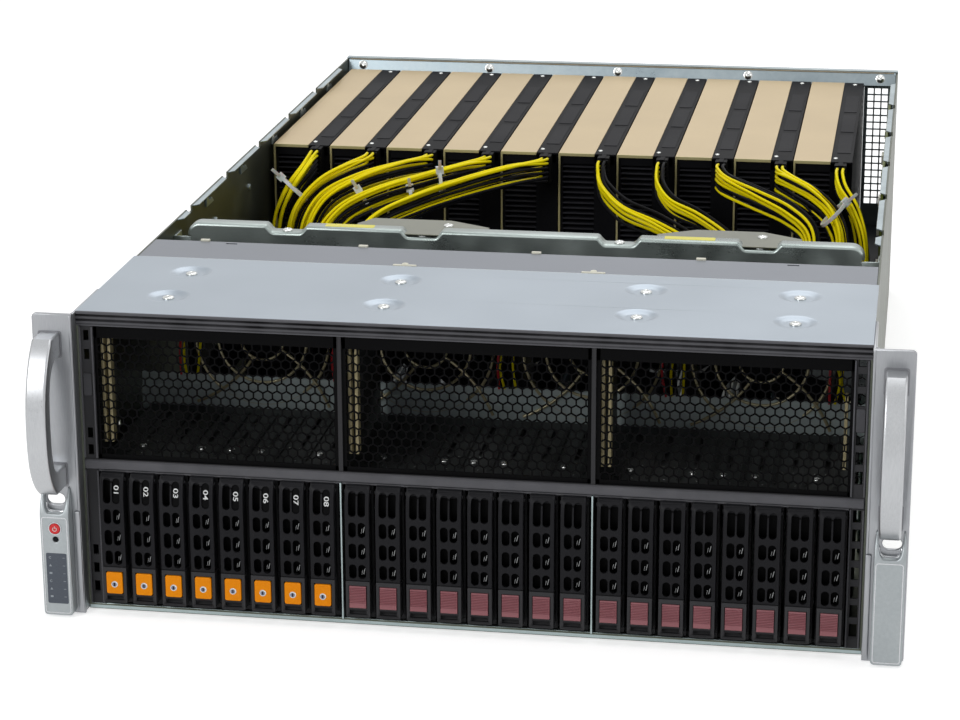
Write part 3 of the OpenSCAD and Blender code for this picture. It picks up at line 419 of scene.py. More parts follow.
# Edge mask from pointiness and noise: it marks real edge wear, and on the black front paints it also lays painted
# highlights along the edges.
def wearAndHighlightEffect():
    group = newEffect("edgeWear", [("Spread", "Float", 60.0), ("Start", "Float", 0.52)],
        [("Mask", "Float")])
    start = node(group, "NodeGroupInput")
    place = node(group, "ShaderNodeTexCoord")
    shape = node(group, "ShaderNodeNewGeometry")
    patch = node(group, "ShaderNodeTexNoise", {"Vector": place.outputs["Object"],
        "Scale": start.outputs["Spread"], "Detail": 3.0})
    shifted = node(group, "ShaderNodeMath", {0: patch.outputs["Fac"], 1: 0.06}, operation="MULTIPLY")
    rough = node(group, "ShaderNodeMath", {0: shape.outputs["Pointiness"], 1: shifted.outputs[0]})
    mask = node(group, "ShaderNodeMapRange", {"Value": rough.outputs[0],
        "From Min": start.outputs["Start"], "From Max": 0.62})
    node(group, "NodeGroupOutput", {"Mask": mask.outputs["Result"]})
    return group


grain = grainEffect()
edgeWear = wearAndHighlightEffect()


# low and high are the ends of the colour and the roughness over the surface
def finish(name, low, high, rough, metal=0.0, stretch=(1, 1, 1), scale=300.0, cloud=12.0, depth=0.5,
        bump=0.1, bumpDepth=0.0002, wear=None, spread=60.0, **sockets):
    material = bpy.data.materials.new(name)
    material.use_nodes = True
    tree = material.node_tree
    tree.nodes.clear()
    effect = node(tree, "ShaderNodeGroup", node_tree=grain)
    effect.inputs["Stretch"].default_value = stretch
    effect.inputs["Scale"].default_value = scale
    effect.inputs["Cloud"].default_value = cloud
    effect.inputs["Depth"].default_value = depth
    span = node(tree, "ShaderNodeMapRange", {"Value": effect.outputs["Tone"], "From Min": 0.3,
        "From Max": 0.7})
    colour = node(tree, "ShaderNodeMix", {0: span.outputs["Result"]}, data_type="RGBA")
    colour.inputs[6].default_value = (*low, 1)
    colour.inputs[7].default_value = (*high, 1)
    tint = colour.outputs[2]
    roughness = node(tree, "ShaderNodeMapRange", {"Value": effect.outputs["Tone"], "From Min": 0.3,
        "From Max": 0.7, "To Min": rough[0], "To Max": rough[1]})
    # Masked edges take the lighter edge colour: real wear on some coats, a painted highlight on the black front
    # paints.
    if wear:
        wearAndHighlightMask = node(tree, "ShaderNodeGroup", node_tree=edgeWear)
        wearAndHighlightMask.inputs["Spread"].default_value = spread
        blended = node(tree, "ShaderNodeMix", {0: wearAndHighlightMask.outputs["Mask"], 6: tint}, data_type="RGBA")
        blended.inputs[7].default_value = (*wear, 1)
        tint = blended.outputs[2]
    relief = node(tree, "ShaderNodeBump", {"Height": effect.outputs["Height"], "Strength": bump,
        "Distance": bumpDepth})
    shader = node(tree, "ShaderNodeBsdfPrincipled",
        {"Base Color": tint, "Roughness": roughness.outputs["Result"], "Normal": relief.outputs["Normal"],
        "Metallic": metal, **sockets})
    node(tree, "ShaderNodeOutputMaterial", {"Surface": shader.outputs["BSDF"]})
    return material


# The stage: pale floor, soft lights

lighting = {"world": 0.3, "floorGlow": 0.56, "floor": 0.86,
            "lamps": [("behind", (0.1, 1.5, 2.2), (0, 0, 0.1), 2.0, 16),
                      ("above", (0.3, -0.4, 2.6), (0, 0.1, 0.1), 1.4, 12),
                      ("front", (-1.5, -2.6, 1.6), (0, 0, 0.1), 1.6, 34),
                      ("right", (2.4, -0.8, 1.3), (0, 0, 0.1), 1.6, 8)]}


def clearRays(tree):
    rays = node(tree, "ShaderNodeLightPath")
    seen = node(tree, "ShaderNodeMath", {0: rays.outputs["Is Camera Ray"],
        1: rays.outputs["Is Glossy Ray"]}, operation="MAXIMUM")
    return node(tree, "ShaderNodeMath", {0: seen.outputs[0], 1: rays.outputs["Is Transmission Ray"]},
        operation="MAXIMUM").outputs[0]


def buildStage():
    world = bpy.data.worlds.new("studio")
    world.use_nodes = True
    tree = world.node_tree
    tree.nodes.clear()
    lit = node(tree, "ShaderNodeBackground", {"Color": (1, 1, 1, 1), "Strength": lighting["world"]})
    clear = node(tree, "ShaderNodeBackground", {"Color": (1, 1, 1, 1), "Strength": 1.0})
    mixed = node(tree, "ShaderNodeMixShader", {0: clearRays(tree), 1: lit.outputs[0], 2: clear.outputs[0]})
    node(tree, "ShaderNodeOutputWorld", {"Surface": mixed.outputs[0]})
    scene.world = world

    paper = bpy.data.materials.new("palePaper")
    paper.use_nodes = True
    tree = paper.node_tree
    tree.nodes.clear()
    level = lighting["floor"]
    matt = node(tree, "ShaderNodeBsdfDiffuse", {"Color": (level, level, level, 1)})
    strength = node(tree, "ShaderNodeMath", {0: clearRays(tree), 1: lighting["floorGlow"]},
        operation="MULTIPLY")
    glow = node(tree, "ShaderNodeEmission", {"Color": (1, 1, 1, 1), "Strength": strength.outputs[0]})
    both = node(tree, "ShaderNodeAddShader", {0: matt.outputs[0], 1: glow.outputs[0]})
    node(tree, "ShaderNodeOutputMaterial", {"Surface": both.outputs[0]})
    rim = [(14 * math.cos(math.pi * k / 32), 14 * math.sin(math.pi * k / 32), -0.0006) for k in range(64)]
    mesh = bpy.data.meshes.new("floor")
    mesh.from_pydata(rim, [], [list(range(64))])
    mesh.materials.append(paper)
    floor = bpy.data.objects.new("floor", mesh)
    scene.collection.objects.link(floor)

    for name, spot, aim, size, power in lighting["lamps"]:
        lamp = bpy.data.lights.new(name, "AREA")
        lamp.shape = "DISK"
        lamp.size = size
        lamp.energy = power
        holder = bpy.data.objects.new(name, lamp)
        scene.collection.objects.link(holder)
        direction = Vector(aim) - Vector(spot)
        holder.matrix_world = Matrix.Translation(spot) @ direction.to_track_quat("-Z",
            "Y").to_matrix().to_4x4()


buildStage()
print("stage and camera ready")

# Materials

def paint(red, green, blue):
    return tuple((c / 255 / 12.92 if c < 11 else ((c / 255 + 0.055) / 1.055) ** 2.4)
        for c in (red, green, blue))


def steel(name, low, high, rough, stretch=(1, 1, 1), scale=260.0, cloud=9.0, depth=0.6, **extra):
    return finish(name, paint(*low), paint(*high), rough, metal=0.9, stretch=stretch, scale=scale,
        cloud=cloud, depth=depth, bump=0.05, **extra)


def coat(name, low, high, rough, metal=0.0, bump=0.12, scale=900.0, **extra):
    return finish(name, paint(*low), paint(*high), rough, metal=metal, scale=scale, bump=bump,
        bumpDepth=0.0001, **extra)


# Black paint and plastic, with less shine than other coats
def darkCoat(name, low, high, rough, shine=0.035, **extra):
    return coat(name, low, high, rough, **{"Specular IOR Level": shine}, **extra)


coverPaint = coat("coverPaint", (152, 162, 172), (164, 173, 182), (0.3, 0.38), metal=0.7, depth=0.75)
fanCoverPaint = coat("fanCoverPaint", (112, 117, 126), (124, 128, 136), (0.32, 0.4), metal=0.6, depth=0.7)
zincSteel = steel("zincSteel", (138, 150, 156), (176, 187, 190), (0.3, 0.46), cloud=26.0, depth=0.75)
tailSteel = steel("tailSteel", (124, 136, 142), (148, 158, 162), (0.26, 0.4), cloud=20.0, depth=0.7)
# Dark olive steel for the tub: painted shade, since the inside walls lie in shade; the zinc parts elsewhere are
# lighter.
wallSteel = steel("wallSteel", (70, 74, 64), (100, 104, 94), (0.34, 0.5), cloud=18.0, depth=0.75)
# The brace steel's wide cloudy tone is partly the metal's own mottling and partly a painted blurred reflection on the
# brace wall.
braceSteel = finish("braceSteel", paint(120, 130, 127), paint(172, 182, 179), (0.22, 0.36), metal=0.8,
    stretch=(1, 5, 5), scale=260.0, cloud=8.0, depth=0.85, bump=0.05)
plateSteel = steel("plateSteel", (98, 99, 88), (126, 127, 114), (0.3, 0.42), cloud=10.0)
brightSteel = steel("brightSteel", (176, 184, 188), (206, 212, 214), (0.16, 0.3), stretch=(6, 1, 1),
    cloud=8.0)
screwSteel = steel("screwSteel", (190, 192, 190), (222, 224, 222), (0.14, 0.26), scale=700.0)
lipSteel = steel("lipSteel", (150, 164, 166), (178, 192, 192), (0.3, 0.44), stretch=(1, 8, 8), cloud=12.0)
# The frame's lighter edge colour is partly wear and partly a painted highlight on the bevels.
blackPaint = darkCoat("blackPaint", (12, 12, 13), (22, 22, 24), (0.34, 0.46), wear=paint(62, 62, 64))
cagePaint = darkCoat("cagePaint", (11, 12, 13), (20, 22, 23), (0.36, 0.5), wear=paint(60, 62, 62))
earAlloy = finish("earAlloy", paint(146, 148, 152), paint(166, 168, 171), (0.28, 0.4), metal=0.85,
    stretch=(14, 14, 1), scale=150.0, cloud=10.0, depth=0.5, bump=0.06)
handleAlloy = finish("handleAlloy", paint(168, 170, 173), paint(192, 194, 196), (0.26, 0.38), metal=0.85,
    stretch=(14, 14, 1), scale=150.0, cloud=10.0, depth=0.5, bump=0.05)
coverAlloy = finish("coverAlloy", paint(152, 158, 161), paint(172, 178, 180), (0.34, 0.46), metal=0.6,
    scale=600.0, cloud=14.0, depth=0.6, bump=0.08)
greenBoard = coat("greenBoard", (18, 58, 42), (34, 82, 58), (0.24, 0.34), scale=220.0, depth=0.3,
    **{"Coat Weight": 0.3})
edgeBoard = coat("edgeBoard", (92, 104, 40), (128, 138, 62), (0.4, 0.5), scale=220.0)
blackBoard = darkCoat("blackBoard", (14, 17, 20), (28, 32, 36), (0.26, 0.36), scale=220.0, depth=0.3)
chipBlack = darkCoat("chipBlack", (20, 20, 22), (34, 34, 36), (0.3, 0.42))
portMetal = steel("portMetal", (180, 184, 184), (208, 212, 210), (0.18, 0.3), scale=500.0)
sinkAluminium = steel("sinkAluminium", (178, 184, 188), (204, 208, 210), (0.24, 0.36), stretch=(1, 1, 10))
cardBlack = darkCoat("cardBlack", (17, 17, 19), (28, 28, 31), (0.36, 0.5), shine=0.02, scale=1400.0,
    bump=0.2)
padBlack = darkCoat("padBlack", (27, 27, 30), (38, 38, 41), (0.4, 0.55), shine=0.03, scale=1400.0)
cardPlate = coat("cardPlate", (196, 174, 134), (207, 187, 150), (0.4, 0.5), metal=0.3, depth=0.8,
    cloud=14.0)
plateLip = coat("plateLip", (186, 176, 126), (204, 194, 146), (0.3, 0.4), metal=0.3)
yellowWire = coat("yellowWire", (250, 226, 0), (255, 242, 4), (0.3, 0.4), scale=120.0, bump=0.04,
    **{"Specular IOR Level": 0.12})
blackWire = darkCoat("blackWire", (16, 16, 18), (34, 34, 37), (0.26, 0.36), scale=120.0, bump=0.04)
trayPlastic = darkCoat("trayPlastic", (19, 19, 21), (33, 33, 35), (0.3, 0.44), scale=1600.0, bump=0.18,
    wear=paint(66, 66, 68))
innerPlastic = darkCoat("innerPlastic", (9, 9, 10), (16, 16, 17), (0.4, 0.55), scale=1600.0)
orangeTab = coat("orangeTab", (246, 140, 2), (255, 158, 8), (0.3, 0.4), scale=1200.0,
    **{"Specular IOR Level": 0.15})
maroonTab = coat("maroonTab", (96, 36, 46), (116, 50, 60), (0.3, 0.42), scale=1200.0,
    wear=paint(150, 92, 98))
driveMetal = steel("driveMetal", (96, 100, 104), (132, 136, 140), (0.34, 0.5), cloud=20.0)
fanPlastic = darkCoat("fanPlastic", (16, 16, 17), (28, 28, 30), (0.34, 0.46), scale=1200.0)
wireGuard = coat("wireGuard", (172, 162, 126), (206, 196, 162), (0.24, 0.36), metal=0.5)
tanPlastic = coat("tanPlastic", (160, 148, 108), (186, 174, 134), (0.4, 0.5))
redButton = coat("redButton", (206, 22, 26), (228, 38, 40), (0.2, 0.3), scale=1200.0, bump=0.05)
darkButton = darkCoat("darkButton", (24, 25, 28), (38, 40, 44), (0.3, 0.42))
supplyMetal = steel("supplyMetal", (168, 174, 178), (196, 202, 204), (0.2, 0.34), stretch=(6, 1, 1))
tieNylon = coat("tieNylon", (206, 210, 208), (228, 230, 228), (0.3, 0.4), scale=500.0,
    **{"Subsurface Weight": 0.25, "Subsurface Scale": 0.002})
creamPlastic = coat("creamPlastic", (216, 214, 196), (232, 230, 214), (0.35, 0.45))
statusPanel = coat("statusPanel", (64, 72, 84), (78, 86, 98), (0.22, 0.3), bump=0.03)
iconPrint = coat("iconPrint", (150, 158, 166), (168, 176, 182), (0.3, 0.4))
whitePrint = coat("whitePrint", (214, 216, 216), (232, 234, 234), (0.4, 0.5))
yellowStrip = coat("yellowStrip", (226, 214, 20), (240, 230, 36), (0.26, 0.36))
latchGreen = coat("latchGreen", (44, 100, 58), (58, 122, 72), (0.3, 0.42))
goldPlate = steel("goldPlate", (190, 150, 70), (216, 178, 96), (0.2, 0.3))
redPlastic = coat("redPlastic", (190, 30, 40), (210, 44, 54), (0.35, 0.45))
print("materials ready")


# Chassis walls, floor and back panel

wallTrim = {"inset": 3.6, "firstNotch": 233, "notchPitch": 92, "notch": 12, "studs": (250, 300, 392, 484,
    576, 668)}


def buildWalls():
    addPiece("chassisTub", softCopy("chassis_tub", 0.25), "chassis", wallSteel,
        ["chassis_tub"])
    trim = Shape()
    for side in (-1, 1):
        inner = side * innerHalf
        edge = side * (innerHalf - wallTrim["inset"])
        start = 209.5
        for i in range(6):
            stop = wallTrim["firstNotch"] + i * wallTrim["notchPitch"] - 1
            stop = min(stop, bodyDepth - 7)
            outline = [(inner, start), (inner, stop), (edge, stop - 4), (edge, start + 4)]
            trim.prism(outline, flat, underTop - 1.1, underTop - 0.15, soft=0.25)
            start = stop + wallTrim["notch"] + 2
        for i in range(5):
            middle = wallTrim["firstNotch"] + (i + 0.5) * wallTrim["notchPitch"] + 6
            hook = [(middle - 9, underTop - 9), (middle - 9, underTop - 2), (middle - 5, underTop - 2),
                (middle - 3, underTop - 5.5), (middle + 5, underTop - 5.5), (middle + 9, underTop - 9)]
            near, far = sorted((inner, inner - side * 1.4))
            trim.prism(hook, sideways, near, far, soft=0.3)
        for y in wallTrim["studs"]:
            profile = [(0, 1.5), (1.5, 1.5), (2.1, 1.1), (2.2, 0), (0, 0)]
            trim.lathe([(r, inner - side * h) for r, h in profile], sideways, centre=(y, 152), steps=16)
    addPiece("wallTrim", trim, "chassis", zincSteel)


backRail = {"reach": 9.6, "low": 165.4, "rivets": 102.5, "rivetZ": 171.4, "lean": 16.0}
# A thin brownish strip along the front top edge of the rail.
edgeTape = coat("edgeTape", (140, 120, 84), (160, 140, 100), (0.4, 0.5))


def buildBackPanel():
    addPiece("rearPanel", softCopy("rear_panel", 0.2), "chassis", zincSteel, ["rear_panel"])
    rail = Shape()
    front, low = bodyDepth - backRail["reach"], backRail["low"]
    outline = [(front + 3.4, underTop - 0.1), (front + 2.6, underTop - 0.7), (front, low + 0.9),
        (front + 0.4, low), (front + 1.6, low), (front + 4.6, underTop - 0.1)]
    rail.prism(outline, sideways, -innerHalf + 0.4, innerHalf - 0.4, soft=0.25)
    addPiece("rearRail", rail, "chassis", tailSteel)
    edge = Shape()
    edge.box(-innerHalf + 2, innerHalf - 2, front + 1.6, front + 2.9, underTop - 0.2, underTop + 0.25,
        soft=0.15)
    addPiece("railEdge", edge, "chassis", edgeTape)


# Front cover with its pressed screw dimples

coverSheet = {"depth": 117.0, "dimplesX": (-175.5, -52.0, 89.0, 175.5), "firstRow": 36.4, "rowGap": 50.8,
    "rim": 12.6, "flatRing": 0.8, "floor": 6.4, "deep": 1.6, "steps": 48, "tabs": (-166, -41, 88, 182),
    "tabWidth": 19}
dimpleSpots = [(x, coverSheet["firstRow"] + row * coverSheet["rowGap"]) for x in coverSheet["dimplesX"]
    for row in (0, 1)]


def dimpleProfile(top):
    rim, low, deep = coverSheet["rim"], coverSheet["floor"], coverSheet["deep"]
    profile = [(rim - (rim - low) * k / 12,
        top - deep * (0.5 - 0.5 * math.cos(math.pi * (k / 12) ** 0.85))) for k in range(13)]
    return [(rim + coverSheet["flatRing"], top)] + profile + [(low * 0.5, top - deep), (0, top - deep)]


def buildTopCover():
    cover = Shape()
    rim, steps = coverSheet["rim"] + coverSheet["flatRing"], coverSheet["steps"]
    holes = [[(x + rim * math.cos(2 * math.pi * k / steps), y + rim * math.sin(2 * math.pi * k / steps))
        for k in range(steps)] for x, y in dimpleSpots]
    low, high = underTop + 0.05, bodyTop
    cover.punched([(-halfBody, 0.05), (halfBody, 0.05), (halfBody, coverSheet["depth"]),
        (-halfBody, coverSheet["depth"])], holes, flat, low, high)
    walls = [face for face in cover.bm.faces if abs(face.normal.z) < 0.5
        and any((face.calc_center_median().xy - Vector(spot)).length < rim + 0.2 for spot in dimpleSpots)]
    bmesh.ops.delete(cover.bm, geom=walls, context="FACES_ONLY")
    for spot in dimpleSpots:
        cover.lathe(dimpleProfile(high), flat, spot, steps)
        cover.lathe(dimpleProfile(low), flat, spot, steps)
    bmesh.ops.remove_doubles(cover.bm, verts=cover.bm.verts, dist=0.002)
    bmesh.ops.recalc_face_normals(cover.bm, faces=cover.bm.faces)
    addPiece("topCover", cover, "chassis", coverPaint, ["top_cover"], smooth=40, bevel=0.3)

    # Bright steel strips along the fold, broken at the tabs: a painted highlight for the light seen along the fold
    # line.
    seam = Shape()
    half = coverSheet["tabWidth"] / 2
    stops = [-halfBody + 4]
    for x in coverSheet["tabs"]:
        stops += [x - half, x + half]
    stops.append(halfBody - 4)
    for start, stop in zip(stops, stops[1:]):
        seam.box(start + 0.7, stop - 0.7, coverSheet["depth"] - 0.5, coverSheet["depth"] + 0.35,
            underTop - 0.2, bodyTop - 0.02, soft=0.3)
    for x in coverSheet["tabs"]:
        seam.box(x - half + 1, x + half - 1, coverSheet["depth"], coverSheet["depth"] + 1.5,
            underTop - 0.1, underTop + 0.5, soft=0.2)
    addPiece("coverSeam", seam, "chassis", brightSteel)


fanCover = {"front": 103, "back": 161.0, "hem": 8.0, "bend": 1.6, "slots": (-169, 168),
    "clips": (-56.4, 54.7), "pegs": (-186.4, -88.9, 16.0, 113.8)}


def buildFanCover():
    front, back, bend = fanCover["front"], fanCover["back"], fanCover["bend"]
    top = underTop
    outer = [(front, top)] + arc(back - bend, top - bend, bend, 90, 0, 6) + [(back, top - fanCover["hem"])]
    inner = [(back - sheet, top - fanCover["hem"])] + arc(back - bend, top - bend, bend - sheet, 0, 90, 6)
    outline = outer + inner + [(front, top - sheet)]
    stations = [-innerHalf + 0.2]
    for x in fanCover["slots"]:
        stations += [x - 3.5, x + 3.5]
    stations.append(innerHalf - 0.2)
    cover = Shape()
    for near, far in zip(stations, stations[1:]):
        if far - near > 8:
            cover.prism(outline, sideways, near, far)
        else:
            ahead = [(front, top - sheet), (front, top), (back - 6, top), (back - 6, top - sheet)]
            behind = ([(back - 4, top - sheet), (back - 4, top)] + arc(back - bend, top - bend, bend, 90,
                0, 6) + [(back, top - fanCover["hem"])] + inner)
            cover.prism(ahead, sideways, near, far)
            cover.prism(behind, sideways, near, far)
    addPiece("fanCover", cover, "chassis", fanCoverPaint, ["fan_cover"])

    clips = Shape()
    for x in fanCover["clips"]:
        clips.prism(roundedRect(x - 7, x + 7, 121.2, 123.4, 0.6), flat, top - 0.2, top + 0.7, soft=0.3)
        clips.lathe([(0, top - 0.5), (1.9, top - 0.5), (1.9, top + 0.9), (1.3, top + 1.15),
            (0, top + 1.15)], flat, (x, 124), 20)
    for x in fanCover["pegs"]:
        clips.prism(roundedRect(x - 2.9, x + 2.9, back - 1.6, back + 0.9, 0.7), flat, top - 2.4, top
            + 1.05, soft=0.3)
    addPiece("coverClips", clips, "chassis", creamPlastic)


# Cross brace: a pressed channel with dipped screw notches and two cable plates

brace = {"front": 199.0, "depth": 10.0, "low": 146.0, "endGap": 9.0, "corner": 8.0,
    "notchesX": (-145.5, -60.7, 60.7, 145.5), "notch": 24.0, "notchFloor": 16.0, "notchDeep": 4.3,
    "bend": 1.9, "plates": ((-105, -97, -48, -22), (82, 105, 146, 170)), "strips": (-106.2, 103.3)}


def braceEdge(top):
    half, corner = innerHalf - brace["endGap"], brace["corner"]
    floorZ = top - brace["notchDeep"]
    slope = (brace["notch"] - brace["notchFloor"]) / 2
    line = arc(-half + corner, top - corner, corner, 180, 90, 8)
    for x in brace["notchesX"]:
        left, right = x - brace["notch"] / 2, x + brace["notch"] / 2
        for a, c, z0, z1 in ((left - 1.6, left + slope, top, floorZ), (right - slope, right + 1.6, floorZ,
                top)):
            line += [(a + (c - a) * k / 8, z0 + (z1 - z0) * (0.5 - 0.5 * math.cos(math.pi * k / 8)))
                for k in range(9)]
    return line + arc(half - corner, top - corner, corner, 90, 0, 8)


def buildBrace():
    top = bodyTop - 0.25
    edge = [Vector(p) for p in braceEdge(top)]
    normals = []
    for k, point in enumerate(edge):
        along = (edge[min(k + 1, len(edge) - 1)] - edge[max(k - 1, 0)]).normalized()
        normals.append(Vector((-along.y, along.x)))
    front, bend = brace["front"], brace["bend"]
    back = front + brace["depth"]
    profile = [(bend * (1 - math.sin(a)), front + bend * (1 - math.cos(a))) for a in [math.pi / 2 * k / 5
        for k in range(6)]]
    profile += [(0, back - 0.3), (0.3, back), (sheet - 0.2, back), (sheet, back - 0.3)]
    inside = bend - sheet
    profile += [(sheet + inside * (1 - math.sin(a)), front + sheet + inside * (1 - math.cos(a)))
        for a in [math.pi / 2 * k / 5 for k in range(5, -1, -1)]]
    rim = Shape()
    rows = []
    for point, normal in zip(edge, normals):
        rows.append([(point.x - normal.x * inset, y, point.y - normal.y * inset) for inset, y in profile])
    rim.skin(rows, closed=True, capped=True)
    wall = [(p.x - n.x * (bend - 0.02), p.y - n.y * (bend - 0.02)) for p, n in zip(edge, normals)]
    wall = [p for k, p in enumerate(wall) if k == 0 or math.dist(p, wall[k - 1]) > 0.15]
    low = brace["low"]
    half = innerHalf - brace["endGap"]
    wall += [(half - bend, low + 3), (half - bend - 3, low), (-half + bend + 3, low),
        (-half + bend, low + 3)]
    rim.punched(wall, [], upright, front, front + sheet)
    for side in (-1, 1):
        near, far = sorted((side * (half - bend - 0.5), side * innerHalf))
        rim.box(near, far, front + 0.3, front + sheet - 0.1, low + 1, underTop - 8, soft=0.3)
        near, far = sorted((side * (innerHalf - sheet), side * innerHalf))
        rim.box(near, far, front + 0.6, front + 16, low + 1, underTop - 8, soft=0.4)
    addPiece("crossBrace", rim, "chassis", braceSteel, ["cross_brace"], smooth=50)

    plates = Shape()
    for x0, x1, x2, x3 in brace["plates"]:
        reach = back + 27
        outline = [(x0, front + 1.3), (x0, reach - 14), (x1, reach), (x2, reach), (x3, reach - 14),
            (x3, front + 1.3)]
        plates.prism(outline, flat, underTop - 2.6, underTop - 1.5, soft=0.3)
        lip = [(x1 + 1, reach - 1.1), (x2 - 1, reach - 1.1), (x2 - 1, reach), (x1 + 1, reach)]
        plates.prism(lip, flat, underTop - 9, underTop - 1.6, soft=0.3)
    addPiece("cablePlates", plates, "chassis", plateSteel)

    strips = Shape()
    for x in brace["strips"]:
        strips.prism(roundedRect(x - 15.3, x + 15.3, front + 2.6, back - 0.6, 1.0), flat, top - 0.1, top
            + 0.14, soft=0.05)
    addPiece("braceStrips", strips, "chassis", yellowStrip)


# Screws and rivets, each kind drawn once and set in place by geometry nodes

def panHead(radius, height, recess):
    head = Shape()
    profile = [(radius, 0), (radius, height * 0.35), (radius * 0.93, height * 0.68),
        (radius * 0.72, height * 0.92), (recess * 1.1, height), (recess, height * 0.96),
        (recess * 0.55, height * 0.3), (0, height * 0.3)]
    head.lathe([(0, 0)] + profile, flat, steps=20)
    for turn in (0, 90):
        angle = math.radians(turn)
        arms = [(-recess * 1.25, -recess * 0.24), (recess * 1.25, -recess * 0.24),
            (recess * 1.25, recess * 0.24), (-recess * 1.25, recess * 0.24)]
        arms = [(u * math.cos(angle) - v * math.sin(angle), u * math.sin(angle) + v * math.cos(angle))
            for u, v in arms]
        head.prism(arms, flat, height * 0.3, height * 0.8, soft=0.0)
    return head


def rivetHead(radius, height):
    head = Shape()
    head.lathe([(0, 0), (radius * 1.5, 0), (radius * 1.5, height * 0.25), (radius, height * 0.4),
        (radius * 0.85, height * 0.8), (radius * 0.4, height), (radius * 0.3, height * 0.7),
        (0, height * 0.7)], flat, steps=20)
    return head


screwSizes = {"head": (3.4, 1.5, 1.35), "plateX": (-47.8, 146), "plateY": 223, "earY": 32,
    "earZ": (24, 88, 152), "backZ": 55.5, "groups": 140.3, "cageX": (-54, -19, -2, 15.5, 49.5),
    "cageY": 38, "cageZ": 86}


def buildScrews():
    rng = random.Random(4)
    floorZ = bodyTop - coverSheet["deep"]
    spots = [((x, y, floorZ), (0, 0, rng.uniform(0, 90)), (1, 1, 0.95)) for x, y in dimpleSpots]
    spots += [((x, brace["front"] + 5, bodyTop - brace["notchDeep"] - 0.3), (0, 0, rng.uniform(0, 90)),
        (0.95, 0.95, 1)) for x in brace["notchesX"]]
    spots += [((x, screwSizes["plateY"], underTop - 1.6), (0, 0, 20), (0.9, 0.9, 0.8))
        for x in screwSizes["plateX"]]
    spots += [((side * (halfBody + 1.5), screwSizes["earY"], z), (0, 90 * side, rng.uniform(0, 90)),
        (0.88, 0.88, 0.6)) for side in (-1, 1) for z in screwSizes["earZ"]]
    spots += [((x, bodyDepth, screwSizes["backZ"]), (-90, 0, rng.uniform(0, 90)), (0.82, 0.82, 1))
        for x in (-innerHalf + 5, -innerHalf / 2, 0, innerHalf / 2, innerHalf - 5)]
    mesh = repeated(panHead(*screwSizes["head"]), spots, screwSteel)
    addPiece("panScrews", mesh, "chassis", screwSteel, ["fasteners"], smooth=45)
    small = [((g * screwSizes["groups"] + x, screwSizes["cageY"], screwSizes["cageZ"]),
        (0, 0, rng.uniform(0, 90)), (0.66, 0.66, 0.8)) for g in (-1, 0, 1) for x in screwSizes["cageX"]]
    addPiece("cageScrews", repeated(panHead(*screwSizes["head"]), small, screwSteel), "chassis",
        screwSteel, smooth=45)
    rivets = [((i * backRail["rivets"], bodyDepth - backRail["reach"] + 1.5, backRail["rivetZ"]),
        (90 - backRail["lean"], 0, 0), (1.3, 1.3, 0.9)) for i in range(-2, 3)]
    rivets += [((side * innerHalf, y, z), (0, -90 * side, 0), (0.9, 0.9, 0.8)) for side in (-1, 1)
        for y, z in ((214, 150), (214, 162), (560, 60), (700, 160), (700, 60))]
    addPiece("rivets", repeated(rivetHead(1.8, 1.3), rivets, screwSteel), "chassis", screwSteel,
        smooth=45)


buildWalls()
buildBackPanel()
buildTopCover()
buildFanCover()
buildBrace()
buildScrews()
print("casing ready")


# Front frame, its grilles and the drive cage

front = {"groups": 140.3, "windowHalf": 68.95, "windowLow": 90.5, "windowHigh": 168.5, "openHalf": 209.1,
    "barLow": 85.0, "strip": 213.2, "thick": 1.5, "lipLow": 168.6}
grille = {"pitch": 5.36, "web": 0.86, "low": 92.4, "high": 161.6, "thick": 0.8}
groupRange = (-1, 0, 1)


def ringOf(centre, halfWidth, halfHeight):
    x, z = centre
    return [(x - halfWidth, z - halfHeight), (x + halfWidth, z - halfHeight),
        (x + halfWidth, z + halfHeight), (x - halfWidth, z + halfHeight)]


